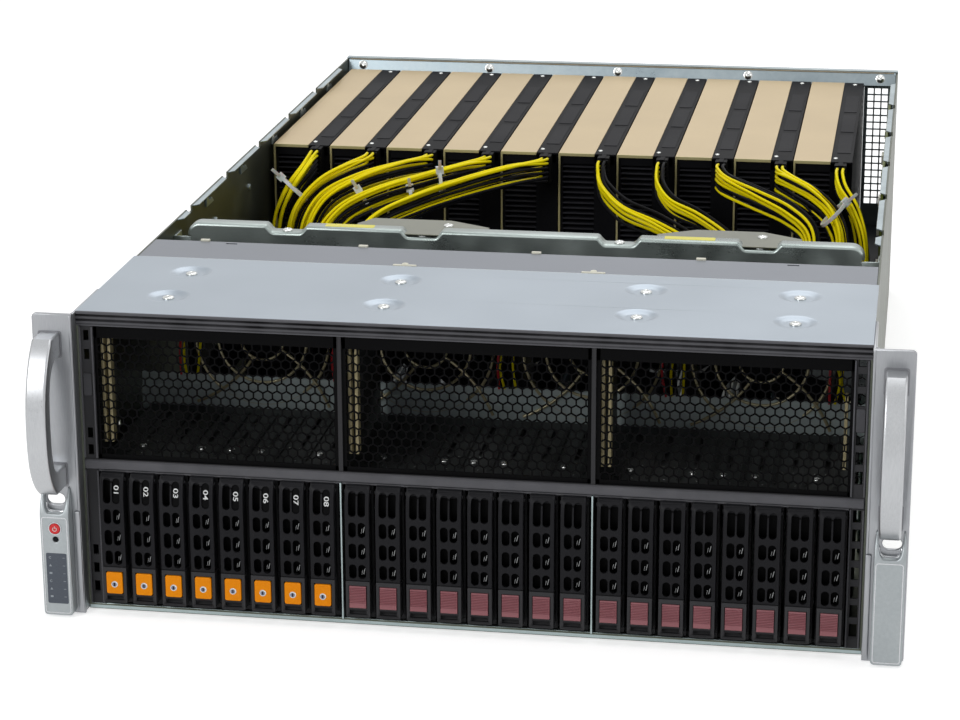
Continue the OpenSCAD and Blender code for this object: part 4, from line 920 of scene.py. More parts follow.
def buildFrame():
    openHalf, half = front["openHalf"], innerHalf - 0.1
    outline = [(-half, 3.3), (-openHalf, 3.3), (-openHalf, front["barLow"]), (openHalf, front["barLow"]),
        (openHalf, 3.3), (half, 3.3), (half, underTop - 0.1), (-half, underTop - 0.1)]
    middle = (front["windowLow"] + front["windowHigh"]) / 2
    holes = [ringOf((g * front["groups"], middle), front["windowHalf"],
        (front["windowHigh"] - front["windowLow"]) / 2) for g in groupRange]
    leftRows = [14, 25, 36, 96, 106, 152, 163]
    rightRows = [14 + 11 * k for k in range(15)]
    holes += [ringOf((-front["strip"], z), 1.5, 3) for z in leftRows if abs(z - 88) > 4]
    holes += [ringOf((front["strip"], z), 2.1, 3.6) for z in rightRows if abs(z - 88) > 7]
    plate = Shape()
    plate.punched(outline, holes, upright, 0.0, front["thick"])
    addPiece("frontFrame", plate, "chassis", blackPaint, ["front_frame"], bevel=0.12,
        segments=2)

    folds = Shape()
    high = bodyTop
    section = [(0.1, high - 0.1), (-1.0, high - 0.05), (-1.5, high - 0.5), (-1.5, high - 1.3),
        (-0.9, high - 1.7), (-0.9, high - 2.5), (-1.45, high - 3.0), (-1.45, high - 3.9),
        (-0.8, high - 4.5), (-0.8, high - 5.3), (-1.3, high - 5.8), (-1.3, high - 6.6), (-0.5, high - 7.4),
        (-0.4, front["lipLow"]), (0.1, front["lipLow"])]
    folds.prism(section, sideways, -halfBody, halfBody, soft=0.15)
    low = front["barLow"]
    section = [(0.3, low + 0.1), (-1.4, low + 0.1), (-1.9, low + 0.6), (-1.9, low + 4.3),
        (-1.5, low + 4.9), (-0.6, low + 5.3), (0.3, low + 5.3)]
    folds.prism(section, sideways, -openHalf - 7.5, openHalf + 7.5, soft=0.15)
    section = [(0.2, low - 1.6), (-0.7, low - 1.4), (-0.9, low - 0.9), (-0.7, low - 0.4), (0.2, low - 0.2)]
    folds.prism(section, sideways, -openHalf + 0.3, openHalf - 0.3, soft=0.1)
    for side in (-1, 1):
        for x in (openHalf + 0.5, openHalf + 7.4):
            folds.box(side * x - 0.45, side * x + 0.45, -1.3, 0.2, 91.5, 168, soft=0.2)
            folds.box(side * x - 0.45, side * x + 0.45, -1.3, 0.2, 4, 84, soft=0.2)
        folds.prism(roundedRect(side * front["strip"] - 2.4, side * front["strip"] + 2.4, 128, 141, 1.2),
            upright, -0.7, 0.2, soft=0.25)
    addPiece("frameFolds", folds, "chassis", foldPaint)


def hexCell():
    cell = Shape()
    outer, inner = grille["pitch"] / math.sqrt(3), (grille["pitch"] - grille["web"]) / math.sqrt(3)
    turns = [math.radians(30 + 60 * k) for k in range(6)]
    rounds = [(outer, 0), (inner + 0.12, 0), (inner, 0.12), (inner, grille["thick"] - 0.12),
        (inner + 0.12, grille["thick"]), (outer, grille["thick"])]
    cell.skin([[(r * math.cos(t), y, r * math.sin(t)) for t in turns] for r, y in rounds], capped=False)
    for face in cell.bm.faces:
        middle = face.calc_center_median()
        outward = Vector((-middle.x, 0, -middle.z)) if abs(face.normal.y) < 0.5 else Vector((0,
            middle.y - 0.4, 0))
        if face.normal.dot(outward) < 0:
            face.normal_flip()
    return cell


def buildGrilles():
    pitch = grille["pitch"]
    rowGap = pitch * math.sqrt(3) / 2
    rows = int((grille["high"] - grille["low"]) / rowGap) + 1
    reach = front["groups"] + front["windowHalf"] + 1
    columns = int(2 * reach / pitch) + 1
    spots = []
    for j in range(rows):
        shift = pitch / 2 if j % 2 else 0
        for i in range(columns):
            spots.append(((-reach + shift + (i + 0.5) * pitch, front["thick"] + 0.02, grille["low"]
                + (j + 0.5) * rowGap),))
    mesh = repeated(hexCell(), spots, blackPaint)
    bm = bmesh.new()
    bm.from_mesh(mesh)
    bmesh.ops.remove_doubles(bm, verts=bm.verts, dist=0.01)
    bm.to_mesh(mesh)
    bm.free()
    addPiece("windowGrilles", mesh, "chassis", grillePaint, ["window_grilles"], smooth=25)
    strips = Shape()
    y0, y1 = front["thick"], front["thick"] + grille["thick"] + 0.08
    strips.box(-reach, reach, y0, y1, grille["high"] - 0.4, 171, soft=0.15)
    strips.box(-reach, reach, y0, y1, 87, grille["low"] + 0.9, soft=0.15)
    for side in (-1, 1):
        x = side * front["groups"] / 2
        strips.box(x - 3.4, x + 3.4, y0, y1, 87, 171, soft=0.15)
        x = side * (front["groups"] + front["windowHalf"] + 0.2)
        strips.box(x - 2, x + 2, y0, y1, 87, 171, soft=0.15)
    addPiece("grilleBorders", strips, "chassis", grillePaint)


def buildDividers():
    bars = Shape()
    for side in (-1, 1):
        x = side * front["groups"] / 2
        bars.box(x - 0.5, x + 0.5, -2.6, 0.1, 3.6, front["barLow"] - 0.3, soft=0.2)
    addPiece("groupDividers", bars, "chassis", lipSteel)
    lip = Shape()
    section = ([(1.1, 0.15), (1.1, 3.15)] + arc(0.55, 3.0, 0.5, 30, 170, 6) + arc(0.35, 0.6, 0.45, 180,
        270, 4))
    lip.prism(section, sideways, -halfBody + 0.3, halfBody - 0.3, soft=0.1)
    addPiece("floorLip", lip, "chassis", lipSteel)


cage = {"roof": 86, "dots": 21, "dotGap": 6.0, "dotRows": (47, 26), "ribs": 8, "ribGap": 17.2,
    "ribHalf": 1.6, "ribFront": 26, "ribBack": 106}


def buildCage():
    addPiece("driveCage", softCopy("drive_cage", 0.2), "chassis", cagePaint, ["drive_cage"])
    dot = Shape()
    dot.lathe([(0, 0), (0.62, 0), (0.62, 0.1), (0.4, 0.28), (0, 0.3)], flat, steps=12)
    spots = []
    for g in groupRange:
        for k in range(cage["dots"]):
            x = g * front["groups"] + (k - 10) * cage["dotGap"]
            spots.append(((x, cage["dotRows"][0], cage["roof"]),))
            if k % 3 == 1:
                spots.append(((x + 2.2, cage["dotRows"][1], cage["roof"]),))
    addPiece("cageDots", repeated(dot, spots, screwSteel), "chassis", screwSteel, smooth=45)
    ribs = Shape()
    for g in groupRange:
        for k in range(cage["ribs"]):
            x = g * front["groups"] + (k - 3.5) * cage["ribGap"]
            ribs.prism(roundedRect(x - cage["ribHalf"], x + cage["ribHalf"], cage["ribFront"],
                cage["ribBack"], 1.4), flat, cage["roof"] - 0.2, cage["roof"] + 0.9, soft=0.4)
    addPiece("cageRibs", ribs, "chassis", cagePaint)
    tan = Shape()
    places = [(g * front["groups"] - front["windowHalf"] + offset, 99.0, 160.0) for g in groupRange
        for offset in (3.2, 7.0)]
    places += [(front["groups"] + front["windowHalf"] - offset, 104.0, 146.0) for offset in (4.0,)]
    for x, z0, z1 in places:
        tan.box(x - 0.9, x + 0.9, 6, 12, z0, z1, soft=0.3)
    addPiece("windowStrips", tan, "chassis", tanPlastic)
    blocks = Shape()
    for g in groupRange:
        x = g * front["groups"] - 12
        for k, width in enumerate((9, 5, 3)):
            left = x + (0, 14, 23)[k]
            blocks.box(left, left + width, 100 + 3 * k, 112, 130, 166, soft=0.4)
    addPiece("cageBlocks", blocks, "chassis", cagePaint)
    addPiece("driveBackplane", softCopy("drive_backplane", 0.1), "chassis", greenBoard,
        ["drive_backplane"])


# The light edge colour on the folds is a painted highlight along the fold edges.
foldPaint = darkCoat("foldPaint", (11, 11, 12), (20, 20, 22), (0.26, 0.36), wear=paint(98, 98, 102))
grillePaint = darkCoat("grillePaint", (7, 7, 8), (13, 13, 14), (0.36, 0.5))
buildFrame()
buildGrilles()
buildDividers()
buildCage()
print("front ready")


# Drive trays, drawn with the middle of the face at X = 0 and the face at Y = 0

tray = {"face": 13.6, "top": 84.0, "low": 29.3, "deep": 9.0, "wall": 1.2, "baseLow": 7.5, "baseTop": 28.8,
    "pillX": 2.65, "pillWidth": 4.4, "rows": ((67.0, 81.6), (54.8, 63.9), (42.0, 51.4), (30.4, 39.0)),
    "tabWidth": 9.4, "tabLow": 13.2, "tabHigh": 26.0, "reach": 8.0, "pitch": 17.2, "bays": 8,
    "pivot": (5.0, 80.5), "length": 122.0}


def bow(z):
    if z < 64:
        return 0.0
    return 3.9 * ((z - 64) / 20) ** 3.6


def pill(x, low, high, half):
    return arc(x, high - half, half, 0, 180, 10) + arc(x, low + half, half, 180, 360, 10)


def leverMesh():
    half, top, low = tray["face"] / 2, tray["top"], tray["low"]
    lever = Shape()
    outline = ([(half - 0.1, low), (half, low + 0.2)] + arc(half - 1.2, top - 1.2, 1.2, 0, 90, 5)
        + arc(-half + 1.2, top - 1.2, 1.2, 90, 180, 5) + [(-half, low + 0.2), (-half + 0.1, low)])
    holes = [pill(side * tray["pillX"], z0, z1, tray["pillWidth"] / 2) for z0, z1 in tray["rows"]
        for side in (-1, 1)]
    lever.punched(outline, holes, upright, 0.0, tray["wall"])
    for k in range(15):
        everything = lever.bm.verts[:] + lever.bm.edges[:] + lever.bm.faces[:]
        bmesh.ops.bisect_plane(lever.bm, geom=everything, plane_co=(0, 0, 65 + k * 1.3), plane_no=(0, 0, 1))
    for vert in lever.bm.verts:
        vert.co.y += bow(vert.co.z)
        if vert.co.y < bow(vert.co.z) + 0.6:
            vert.co.y += 0.5 * (abs(vert.co.x) / half) ** 8
    side = [(bow(z) + 0.3, z) for z in [64 + 20 * k / 10 for k in range(10, -1, -1)]]
    side += [(0.3, low + 0.2), (tray["deep"], low + 0.2), (tray["deep"], 76.2), (8, 76.5), (8, top - 0.8),
        (7, top)]
    for s in (-1, 1):
        near, far = sorted((s * (half - 0.05), s * (half - tray["wall"])))
        lever.prism(side, sideways, near, far, soft=0.25)
    lever.box(-half + 0.3, half - 0.3, bow(83) + 0.8, 7.8, top - 1.1, top - 0.1, soft=0.3)
    for z in (40.5, 53.1, 65.5):
        lever.box(-half + 0.6, half - 0.6, 1.0, 7.5, z - 0.5, z + 0.5, soft=0.15)
    lever.tube([Vector((-7.6, *tray["pivot"])), Vector((7.6, *tray["pivot"]))], 1.15, 16)
    return lever.mesh("lever")


# Very dark walls behind the pill slots: painted shade for the inside of the lever; the middle rib is a real divider.
def leverShadeBackMesh():
    half, low = tray["face"] / 2, tray["low"]
    back = Shape()
    back.box(-half + 1.2, half - 1.2, 5.6, 8.2, low + 0.6, 66, soft=0.2)
    back.box(-0.5, 0.5, 1.4, 5.6, low + 1, 80, soft=0.15)
    back.box(-half + 1.3, half - 1.3, 6.2, 7.6, 66, 82.6, soft=0.2)
    return back.mesh("leverBack")


# Light grey wedges inside the right-hand pill slots: painted glints of light, not parts of the lever.
def glintMesh():
    glints = Shape()
    for z0, z1 in tray["rows"][1:]:
        x, z = tray["pillX"] + 0.3, (z0 + z1) / 2
        glints.prism([(x + 0.1, z - 1.9), (x + 0.5, z - 1.9), (x + 1.25, z + 1.7), (x + 0.75, z + 1.2)],
            upright, 1.6, 2.2, soft=0.08)
        glints.prism([(x - 1.1, z - 2.6), (x - 0.85, z - 2.6), (x - 0.3, z + 0.2), (x - 0.65, z)], upright,
            2.4, 2.8, soft=0.06)
    return glints.mesh("glints")


def insertMesh():
    x, (z0, z1) = tray["pillX"], tray["rows"][0]
    insert = Shape()
    insert.prism(pill(x, z0 + 0.1, z1 - 0.1, tray["pillWidth"] / 2 - 0.08), upright, 0.75, 2.0, soft=0.2)
    for vert in insert.bm.verts:
        vert.co.y += bow(vert.co.z)
    return insert.mesh("insert")


def numberMesh(number):
    letters = bpy.data.curves.new("number", "FONT")
    letters.body = f"{number:02d}"
    letters.size = 4.6
    letters.align_x = "CENTER"
    letters.align_y = "CENTER"
    letters.extrude = 0.08
    letters.resolution_u = 5
    letters.offset = 0.06
    mesh = plainMesh(letters)
    for vert in mesh.vertices:
        u, v, w = vert.co
        z = 74.9 - u * 1.25
        vert.co = (tray["pillX"] + v * 0.86, 0.72 + bow(z) - w, z)
    mesh.flip_normals()
    return mesh


def tabMesh(locked):
    half, low, high = tray["tabWidth"] / 2, tray["tabLow"], tray["tabHigh"]
    tab = Shape()
    if locked:
        tab.prism(roundedRect(-half, half, low, high, 1.1, 6), upright, -0.8, 1.8, soft=0.4, segments=3)
        return tab.mesh("tab")
    section = [(1.8, low), (-0.5, low), (-0.8, low + 0.4), (-0.8, low + 2.6), (-0.35, low + 3.1)]
    z = low + 3.3
    while z < high - 0.9:
        section += [(-0.35, z), (-0.62, z + 0.2), (-0.62, z + 0.45), (-0.35, z + 0.65)]
        z += 0.95
    section += [(-0.5, high - 0.3), (-0.2, high), (1.8, high)]
    tab.prism(section, sideways, -half, half, soft=0.12)
    return tab.mesh("tab")


def lockMeshes():
    middle = (0, 18.9)
    rim = Shape()
    rim.lathe([(1.25, -0.75), (1.3, -1.02), (1.75, -1.02), (1.95, -0.8), (1.95, -0.6)], upright, middle, 28)
    core = Shape()
    core.lathe([(0, -0.86), (1.28, -0.86), (1.3, -0.7)], upright, middle, 24)
    slot = Shape()
    slot.prism(pill(0, middle[1] - 1.05, middle[1] + 1.05, 0.32), upright, -0.93, -0.8, soft=0.05)
    return rim.mesh("rim"), core.mesh("core"), slot.mesh("slot")


def carrierMesh():
    half, low, high = tray["face"] / 2, tray["baseLow"], tray["baseTop"]
    body = Shape()
    gap = tray["tabWidth"] / 2 + 0.35
    outline = [(-half + 0.4, low), (half - 0.4, low), (half, low + 0.4), (half, high), (-half, high),
        (-half, low + 0.4)]
    holes = [ringOf((0, (tray["tabLow"] + tray["tabHigh"]) / 2), gap, (tray["tabHigh"] - tray["tabLow"])
        / 2 + 0.35), ringOf((0, 10.4), half - 2.1, 1.15)]
    body.punched(outline, holes, upright, 0.0, 1.4)
    for side in (-1, 1):
        near, far = sorted((side * half, side * (half - 1.3)))
        body.box(near, far, 0.5, 9.8, low + 0.2, high, soft=0.3)
    body.box(-half + 0.5, half - 0.5, 3.4, 9.8, low + 0.3, high - 0.2, soft=0.2)
    body.box(-half + 1.5, half - 1.5, -0.25, 1.5, 11.7, 12.35, soft=0.15)
    body.box(-half + 1.7, half - 1.7, -0.1, 1.5, 8.1, 8.7, soft=0.12)
    reach = tray["length"]
    for z0, z1 in ((4.0, 7.2), (80.6, 83.6)):
        body.box(-8, 8, 9.5, reach, z0, z1, soft=0.35)
        for side in (-1, 1):
            near, far = sorted((side * 8, side * 7.0))
            inner = (z1, z1 + 6.5) if z0 < 10 else (z0 - 6.5, z0)
            body.box(near, far, 12, reach - 2, inner[0] - 0.2, inner[1] + 0.2, soft=0.3)
    post = [(x, z) for x, z in ((-7.8, 6.8), (7.8, 6.8), (7.8, 82.5), (-7.8, 82.5))]
    windows = [roundedRect(-5, 5, z, z + 12, 1.2) for z in (32, 48, 64)]
    body.punched(post, windows, upright, 10.0, 12.9)
    return body.mesh("carrier")


def driveMeshes():
    case = Shape()
    case.prism(roundedRect(-7.5, 7.5, 13.1, 113.0, 1.6), flat, 7.3, 77.0, soft=0.6, segments=3)
    label = Shape()
    for side in (-1, 1):
        near, far = sorted((side * 7.5, side * 7.56))
        label.prism([(30, 18), (96, 18), (96, 66), (30, 66)], sideways, near, far, soft=0.02)
    plug = Shape()
    plug.box(-3.2, 3.2, 112.8, 116.5, 24, 60, soft=0.3)
    return case.mesh("case"), label.mesh("label"), plug.mesh("plug")


def moved(mesh, index):
    group = index // tray["bays"] - 1
    x = group * front["groups"] + (index % tray["bays"] - (tray["bays"] - 1) / 2) * tray["pitch"]
    mesh = mesh.copy()
    mesh.transform(Matrix.Translation((x, -tray["reach"], 0)))
    return mesh


def buildTrays():
    lever, leverBack, glints = leverMesh(), leverShadeBackMesh(), glintMesh()
    insert, carrier = insertMesh(), carrierMesh()
    orange, maroon = tabMesh(True), tabMesh(False)
    rim, core, slot = lockMeshes()
    case, label, plug = driveMeshes()
    for i in range(3 * tray["bays"]):
        name = f"tray_{i + 1:02d}"
        leverBody = "tray_lever_01" if i == 0 else name
        tabBody = "tray_release_01" if i == 0 else name
        locked = i < tray["bays"]
        tag = f"tray{i + 1:02d}"
        addPiece(tag + "Carrier", moved(carrier, i), name, trayPlastic, [name], bevel=0.12)
        addPiece(tag + "Lever", moved(lever, i), leverBody, leverPlastic, ["tray_lever_01"]
            if i == 0 else [], smooth=36)
        addPiece(tag + "LeverBack", moved(leverBack, i), leverBody, innerPlastic)
        addPiece(tag + "Glints", moved(glints, i), leverBody, glintPlastic)
        addPiece(tag + "Tab", moved(orange if locked else maroon, i), tabBody, orangeTab if locked
            else maroonTab, ["tray_release_01"] if i == 0 else [])
        addPiece(tag + "Drive", moved(case, i), name, driveMetal, smooth=40)
        addPiece(tag + "DriveLabel", moved(label, i), name, whitePrint)
        addPiece(tag + "DrivePlug", moved(plug, i), name, innerPlastic)
        if locked:
            addPiece(tag + "Insert", moved(insert, i), leverBody, innerPlastic)
            addPiece(tag + "Number", moved(numberMesh(i + 1), i), leverBody, whitePrint)
            addPiece(tag + "LockRim", moved(rim, i), tabBody, brightSteel)
            addPiece(tag + "LockCore", moved(core, i), tabBody, lockCore)
            addPiece(tag + "LockSlot", moved(slot, i), tabBody, innerPlastic)


leverPlastic = darkCoat("leverPlastic", (30, 30, 32), (40, 40, 43), (0.3, 0.42), shine=0.06, scale=1600.0,
    bump=0.14)
# Light grey for the painted glints in the lever slots.
glintPlastic = coat("glintPlastic", (150, 152, 154), (180, 182, 182), (0.2, 0.3), scale=500.0)
lockCore = steel("lockCore", (96, 98, 112), (128, 130, 146), (0.24, 0.36), scale=900.0)
buildTrays()
print("trays ready")


# Rack ears, handles and the lower covers

ear = {"outer": 241.3, "front": -8.4, "plate": 3.0, "flange": 1.5, "flangeDepth": 46.0, "slotX": 232.55,
    "slotZ": 68.5, "slotHalf": 3.3, "slotLength": 10.6, "handleWidth": 11.7, "handleLow": 77.0,
    "handleHigh": 166.5, "handleReach": 32.4, "grip": 9.5, "coverX": 231.8, "coverWidth": 17.0,
    "coverFront": -16.0, "controlX": 231.55, "powerZ": 53.5, "resetZ": 46.8, "screen": (8.3, 38.7),
    "icons": 6, "iconTop": 36.0, "iconGap": 4.7}


def slotHole(x, z, half, length):
    inner = length / 2 - half
    return arc(x + inner, z, half, -90, 90, 10) + arc(x - inner, z, half, 90, 270, 10)


def buildEars():
    plates = Shape()
    for side in (-1, 1):
        inner, outer = sorted((side * halfBody, side * ear["outer"]))
        corner = 2.4
        if side > 0:
            outline = (arc(outer - corner, bodyTop - corner, corner, 0, 90, 6)
                + [(inner, bodyTop), (inner, 0)] + arc(outer - corner, corner, corner, 270, 360, 6))
        else:
            outline = ([(outer, 0), (outer, bodyTop)] + arc(inner + corner, bodyTop - corner, corner, 90,
                180, 6) + arc(inner + corner, corner, corner, 180, 270, 6))
        holes = [slotHole(side * ear["slotX"], ear["slotZ"], ear["slotHalf"], ear["slotLength"])]
        plates.plate(outline, holes, upright, ear["front"], ear["front"] + ear["plate"], soft=0.6)
        x0, x1 = sorted((side * halfBody, side * (halfBody + ear["flange"])))
        plates.box(x0, x1, ear["front"] + ear["plate"] - 0.5, ear["flangeDepth"], 0.4, bodyTop - 0.4,
            soft=0.4)
        x0, x1 = sorted((side * (halfBody + ear["flange"]), side * (halfBody + ear["flange"] + 1.6)))
        plates.box(x0, x1, ear["front"] + ear["plate"] - 0.5, 1.5, 1.5, bodyTop - 1.5, soft=0.5)
        x0, x1 = sorted((side * (halfBody + 0.2), side * (halfBody + 3.4)))
        plates.box(x0, x1, ear["front"] - 1.6, ear["front"] + 0.2, 1.0, 62, soft=0.5)
        x0, x1 = sorted((side * (halfBody + 0.2), side * (halfBody + 1.6)))
        plates.box(x0, x1, ear["front"] - 0.7, ear["front"] + 0.2, 62, bodyTop - 0.8, soft=0.3)
    addPiece("earPlates", plates, "chassis", earAlloy, ["rack_ears"], smooth=50)


def handleOutline(steps=14):
    reach, height, grip = ear["handleReach"], ear["handleHigh"] - ear["handleLow"], ear["grip"]
    outer = (bezier((-0.44 * reach, height), (-0.8 * reach, 0.88 * height), (-reach, 0.68 * height),
        (-reach, 0.49 * height), steps) + bezier((-reach, 0.44 * height), (-reach, 0.24 * height),
        (-0.9 * reach, 0.1 * height), (-0.5 * reach, 0), steps))
    inside, foot = reach - grip, grip + 4
    low, high = foot - 1, height - foot
    inner = (bezier((-0.4 * inside, high), (-0.8 * inside, high * 0.97), (-inside, high * 0.85),
        (-inside, high * 0.55), steps) + bezier((-inside, high * 0.5), (-inside, high * 0.3),
        (-0.9 * inside, foot), (-0.5 * inside, low), steps))
    outline = [(0, height)] + outer + [(0, 0), (0, low)] + inner[::-1] + [(0, high)]
    return [(ear["front"] + y, ear["handleLow"] + z) for y, z in outline]


def buildHandles():
    bows = Shape()
    feet = Shape()
    for side in (-1, 1):
        inner = side * (ear["slotX"] - 1.3 - ear["handleWidth"] / 2)
        x0, x1 = sorted((inner, inner + side * ear["handleWidth"]))
        bows.prism(handleOutline(), sideways, x0, x1, soft=1.5, segments=5)
        for low, high in ((ear["handleHigh"] - 14.6, ear["handleHigh"] + 0.9),
                (ear["handleLow"] - 0.9, ear["handleLow"] + 13.6)):
            feet.prism(roundedRect(x0 - 0.9, x1 + 0.9, low, high, 1.4), upright, ear["front"] - 0.25,
                ear["front"] + 0.4, soft=0.15)
    addPiece("earHandles", bows, "chassis", handleAlloy, ["ear_handles"], smooth=40)
    addPiece("handleFeet", feet, "chassis", pocketAlloy)


def coverOutline(side):
    x, half = side * ear["coverX"], ear["coverWidth"] / 2
    low, shoulder, tip = 1.0, 61.0, 76.2
    outline = arc(x - half + 2, low + 2, 2, 180, 270, 6) + arc(x + half - 2, low + 2, 2, 270, 360, 6)
    right = bezier((x + half, shoulder), (x + half, shoulder + 8), (x + half - 0.2, tip - 4),
        (x + half - 0.9, tip), 10)
    cradle = bezier((x + half - 1.6, tip), (x + half - 2.2, tip - 7), (x + half - 2.2, shoulder + 1.6),
        (x + half - 5.2, shoulder + 1.2), 10)
    left = [(2 * x - u, v) for u, v in reversed(right)]
    cradleLeft = [(2 * x - u, v) for u, v in reversed(cradle)]
    return outline + right + cradle + cradleLeft + left


def hornDepth(z):
    if z < 60:
        return 0.0
    return 7.2 * (min(z - 60, 16.2) / 16.2) ** 1.7


def buildCovers():
    covers = Shape()
    for side in (-1, 1):
        holes = []
        x = side * ear["controlX"]
        if side < 0:
            holes = [arc(x, ear["powerZ"], 3.4, 0, 345, 23), arc(x, ear["resetZ"], 1.6, 0, 337.5, 15)]
        covers.plate(coverOutline(side), holes, upright, ear["coverFront"], ear["front"] + 0.2, soft=0.9,
            segments=4)
    for k in range(12):
        everything = covers.bm.verts[:] + covers.bm.edges[:] + covers.bm.faces[:]
        bmesh.ops.bisect_plane(covers.bm, geom=everything, plane_co=(0, 0, 60.4 + k * 1.3),
            plane_no=(0, 0, 1))
    for vert in covers.bm.verts:
        if vert.co.y < ear["coverFront"] + 1:
            vert.co.y += hornDepth(vert.co.z)
    addPiece("earCovers", covers, "chassis", coverAlloy, ["ear_covers"], smooth=50)

    trim = Shape()
    for side in (-1, 1):
        x, half = side * ear["coverX"], ear["coverWidth"] / 2
        trim.punched(roundedRect(x - half + 1.0, x + half - 1.0, 2.4, 60.2, 1.6, 5),
            [roundedRect(x - half + 1.5, x + half - 1.5, 2.9, 59.7, 1.2, 5)], upright, ear["coverFront"]
            - 0.14, ear["coverFront"] + 0.1)
        cradle = [Vector((x - 6.2, -9.2, 66.5)), Vector((x - 5.9, -10.4, 63.6)),
            Vector((x - 3.6, -10.9, 61.9)), Vector((x, -11.0, 61.5)), Vector((x + 3.6, -10.9, 61.9)),
            Vector((x + 5.9, -10.4, 63.6)), Vector((x + 6.2, -9.2, 66.5))]
        trim.tube(smoothRoute(cradle, 6), 1.1, 12)
    addPiece("coverTrim", trim, "chassis", hornAlloy, smooth=50)


def arcBand(centre, inner, outer, start, end, steps):
    return arc(*centre, outer, start, end, steps) + arc(*centre, inner, end, start, steps)


def buildControls():
    x, y = -ear["controlX"], ear["coverFront"]
    button = Shape()
    button.lathe([(0, y - 0.62), (1.9, y - 0.68), (2.7, y - 0.8), (3.05, y - 0.62), (3.1, y - 0.3),
        (3.1, y + 5)], upright, (x, ear["powerZ"]), 40)
    addPiece("powerButton", button, "power_button", redButton, ["power_button"], smooth=50)
    mark = Shape()
    mark.prism(arcBand((x, 53.3), 0.95, 1.3, 120, 420, 28), upright, y - 0.76, y - 0.6, soft=0.04)
    mark.box(x - 0.17, x + 0.17, y - 0.76, y - 0.6, 53.7, 55.1, soft=0.04)
    addPiece("powerMark", mark, "power_button", whitePrint)
    ring = Shape()
    ring.lathe([(3.35, y + 0.3), (3.35, y - 0.28), (3.75, y - 0.28), (3.95, y + 0.1)], upright,
        (x, ear["powerZ"]), 40)
    addPiece("buttonRing", ring, "chassis", hornAlloy, smooth=50)
    pin = Shape()
    pin.lathe([(0, y + 0.3), (0.9, y + 0.3), (1.25, y + 0.5), (1.3, y + 5)], upright, (x, ear["resetZ"]),
        24)
    addPiece("resetButton", pin, "reset_button", darkButton, ["reset_button"], smooth=50)
    screen = Shape()
    screen.prism(roundedRect(x - 6.0, x + 6.0, *ear["screen"], 0.9), upright, y - 0.12, y + 0.5, soft=0.1)
    addPiece("statusScreen", screen, "chassis", statusPanel)
    icons = Shape()
    near, far = y - 0.17, y - 0.08
    for k in range(ear["icons"]):
        z = ear["iconTop"] - k * ear["iconGap"]
        left = x - 3.6
        if k % 3 == 0:
            icons.prism(arcBand((left, z), 0.5, 0.75, 30, 330, 10), upright, near, far)
        elif k % 3 == 1:
            icons.prism([(left - 0.8, z - 0.6), (left + 0.8, z - 0.6), (left, z + 0.8)], upright, near, far)
        else:
            icons.prism(roundedRect(left - 0.8, left + 0.8, z - 0.5, z + 0.6, 0.3), upright, near, far)
        icons.box(x + 3.6, x + 5.0, near, far, z - 0.12, z + 0.12, soft=0.02)
    addPiece("statusIcons", icons, "chassis", iconPrint)


pocketAlloy = finish("pocketAlloy", paint(112, 113, 117), paint(136, 137, 141), (0.36, 0.48), metal=0.8,
    scale=300.0)
hornAlloy = finish("hornAlloy", paint(190, 192, 195), paint(212, 213, 215), (0.2, 0.32), metal=0.85,
    scale=300.0)
buildEars()
buildHandles()
buildCovers()
buildControls()
print("ears ready")


# Fans behind the drive cage, with their deck and wire guards

fan = {"centres": (-142.4, -43.8, 54.8, 153.4), "z": 128.3, "front": 120.0, "deep": 38.0, "half": 46.0,
    "bore": 44.4, "hub": 20.0, "tip": 43.3, "blades": 7, "deckFront": 117.6, "deckBack": 159.0,
    "deckTop": 82.3, "lipTop": 105.0}


# Lines that share a tree of geometry nodes: each one becomes a round wire
def pipesTree():
    tree = newTree("pipesOnLines", [("Radius", "Float"), ("Sides", "Int"), ("Material", "Material")])
    start = node(tree, "NodeGroupInput")
    line = node(tree, "GeometryNodeMeshToCurve", {"Mesh": start.outputs["Geometry"]})
    ring = node(tree, "GeometryNodeCurvePrimitiveCircle", {"Resolution": start.outputs["Sides"],
        "Radius": start.outputs["Radius"]})
    pipe = node(tree, "GeometryNodeCurveToMesh", {"Curve": line.outputs["Curve"],
        "Profile Curve": ring.outputs["Curve"], "Fill Caps": True})
    real = node(tree, "GeometryNodeRealizeInstances", {"Geometry": pipe.outputs["Mesh"]})
    dressed = node(tree, "GeometryNodeSetMaterial", {"Geometry": real.outputs["Geometry"],
        "Material": start.outputs["Material"]})
    node(tree, "NodeGroupOutput", {"Geometry": dressed.outputs["Geometry"]})
    return tree


pipes = pipesTree()


# lines holds (points, closed) pairs
def pipesAlong(lines, radius, sides, material):
    points, edges = [], []
    for line, closed in lines:
        first = len(points)
        points += [tuple(p) for p in line]
        edges += [(first + k, first + k + 1) for k in range(len(line) - 1)]
        if closed:
            edges.append((len(points) - 1, first))
    base = bpy.data.meshes.new("lines")
    base.from_pydata(points, edges, [])
    mesh = runTree(pipes, base, {"Radius": radius, "Sides": sides, "Material": material})
    bm = bmesh.new()
    bm.from_mesh(mesh)
    bmesh.ops.remove_doubles(bm, verts=bm.verts, dist=0.001)
    bmesh.ops.recalc_face_normals(bm, faces=bm.faces)
    bm.to_mesh(mesh)
    bm.free()
    return mesh


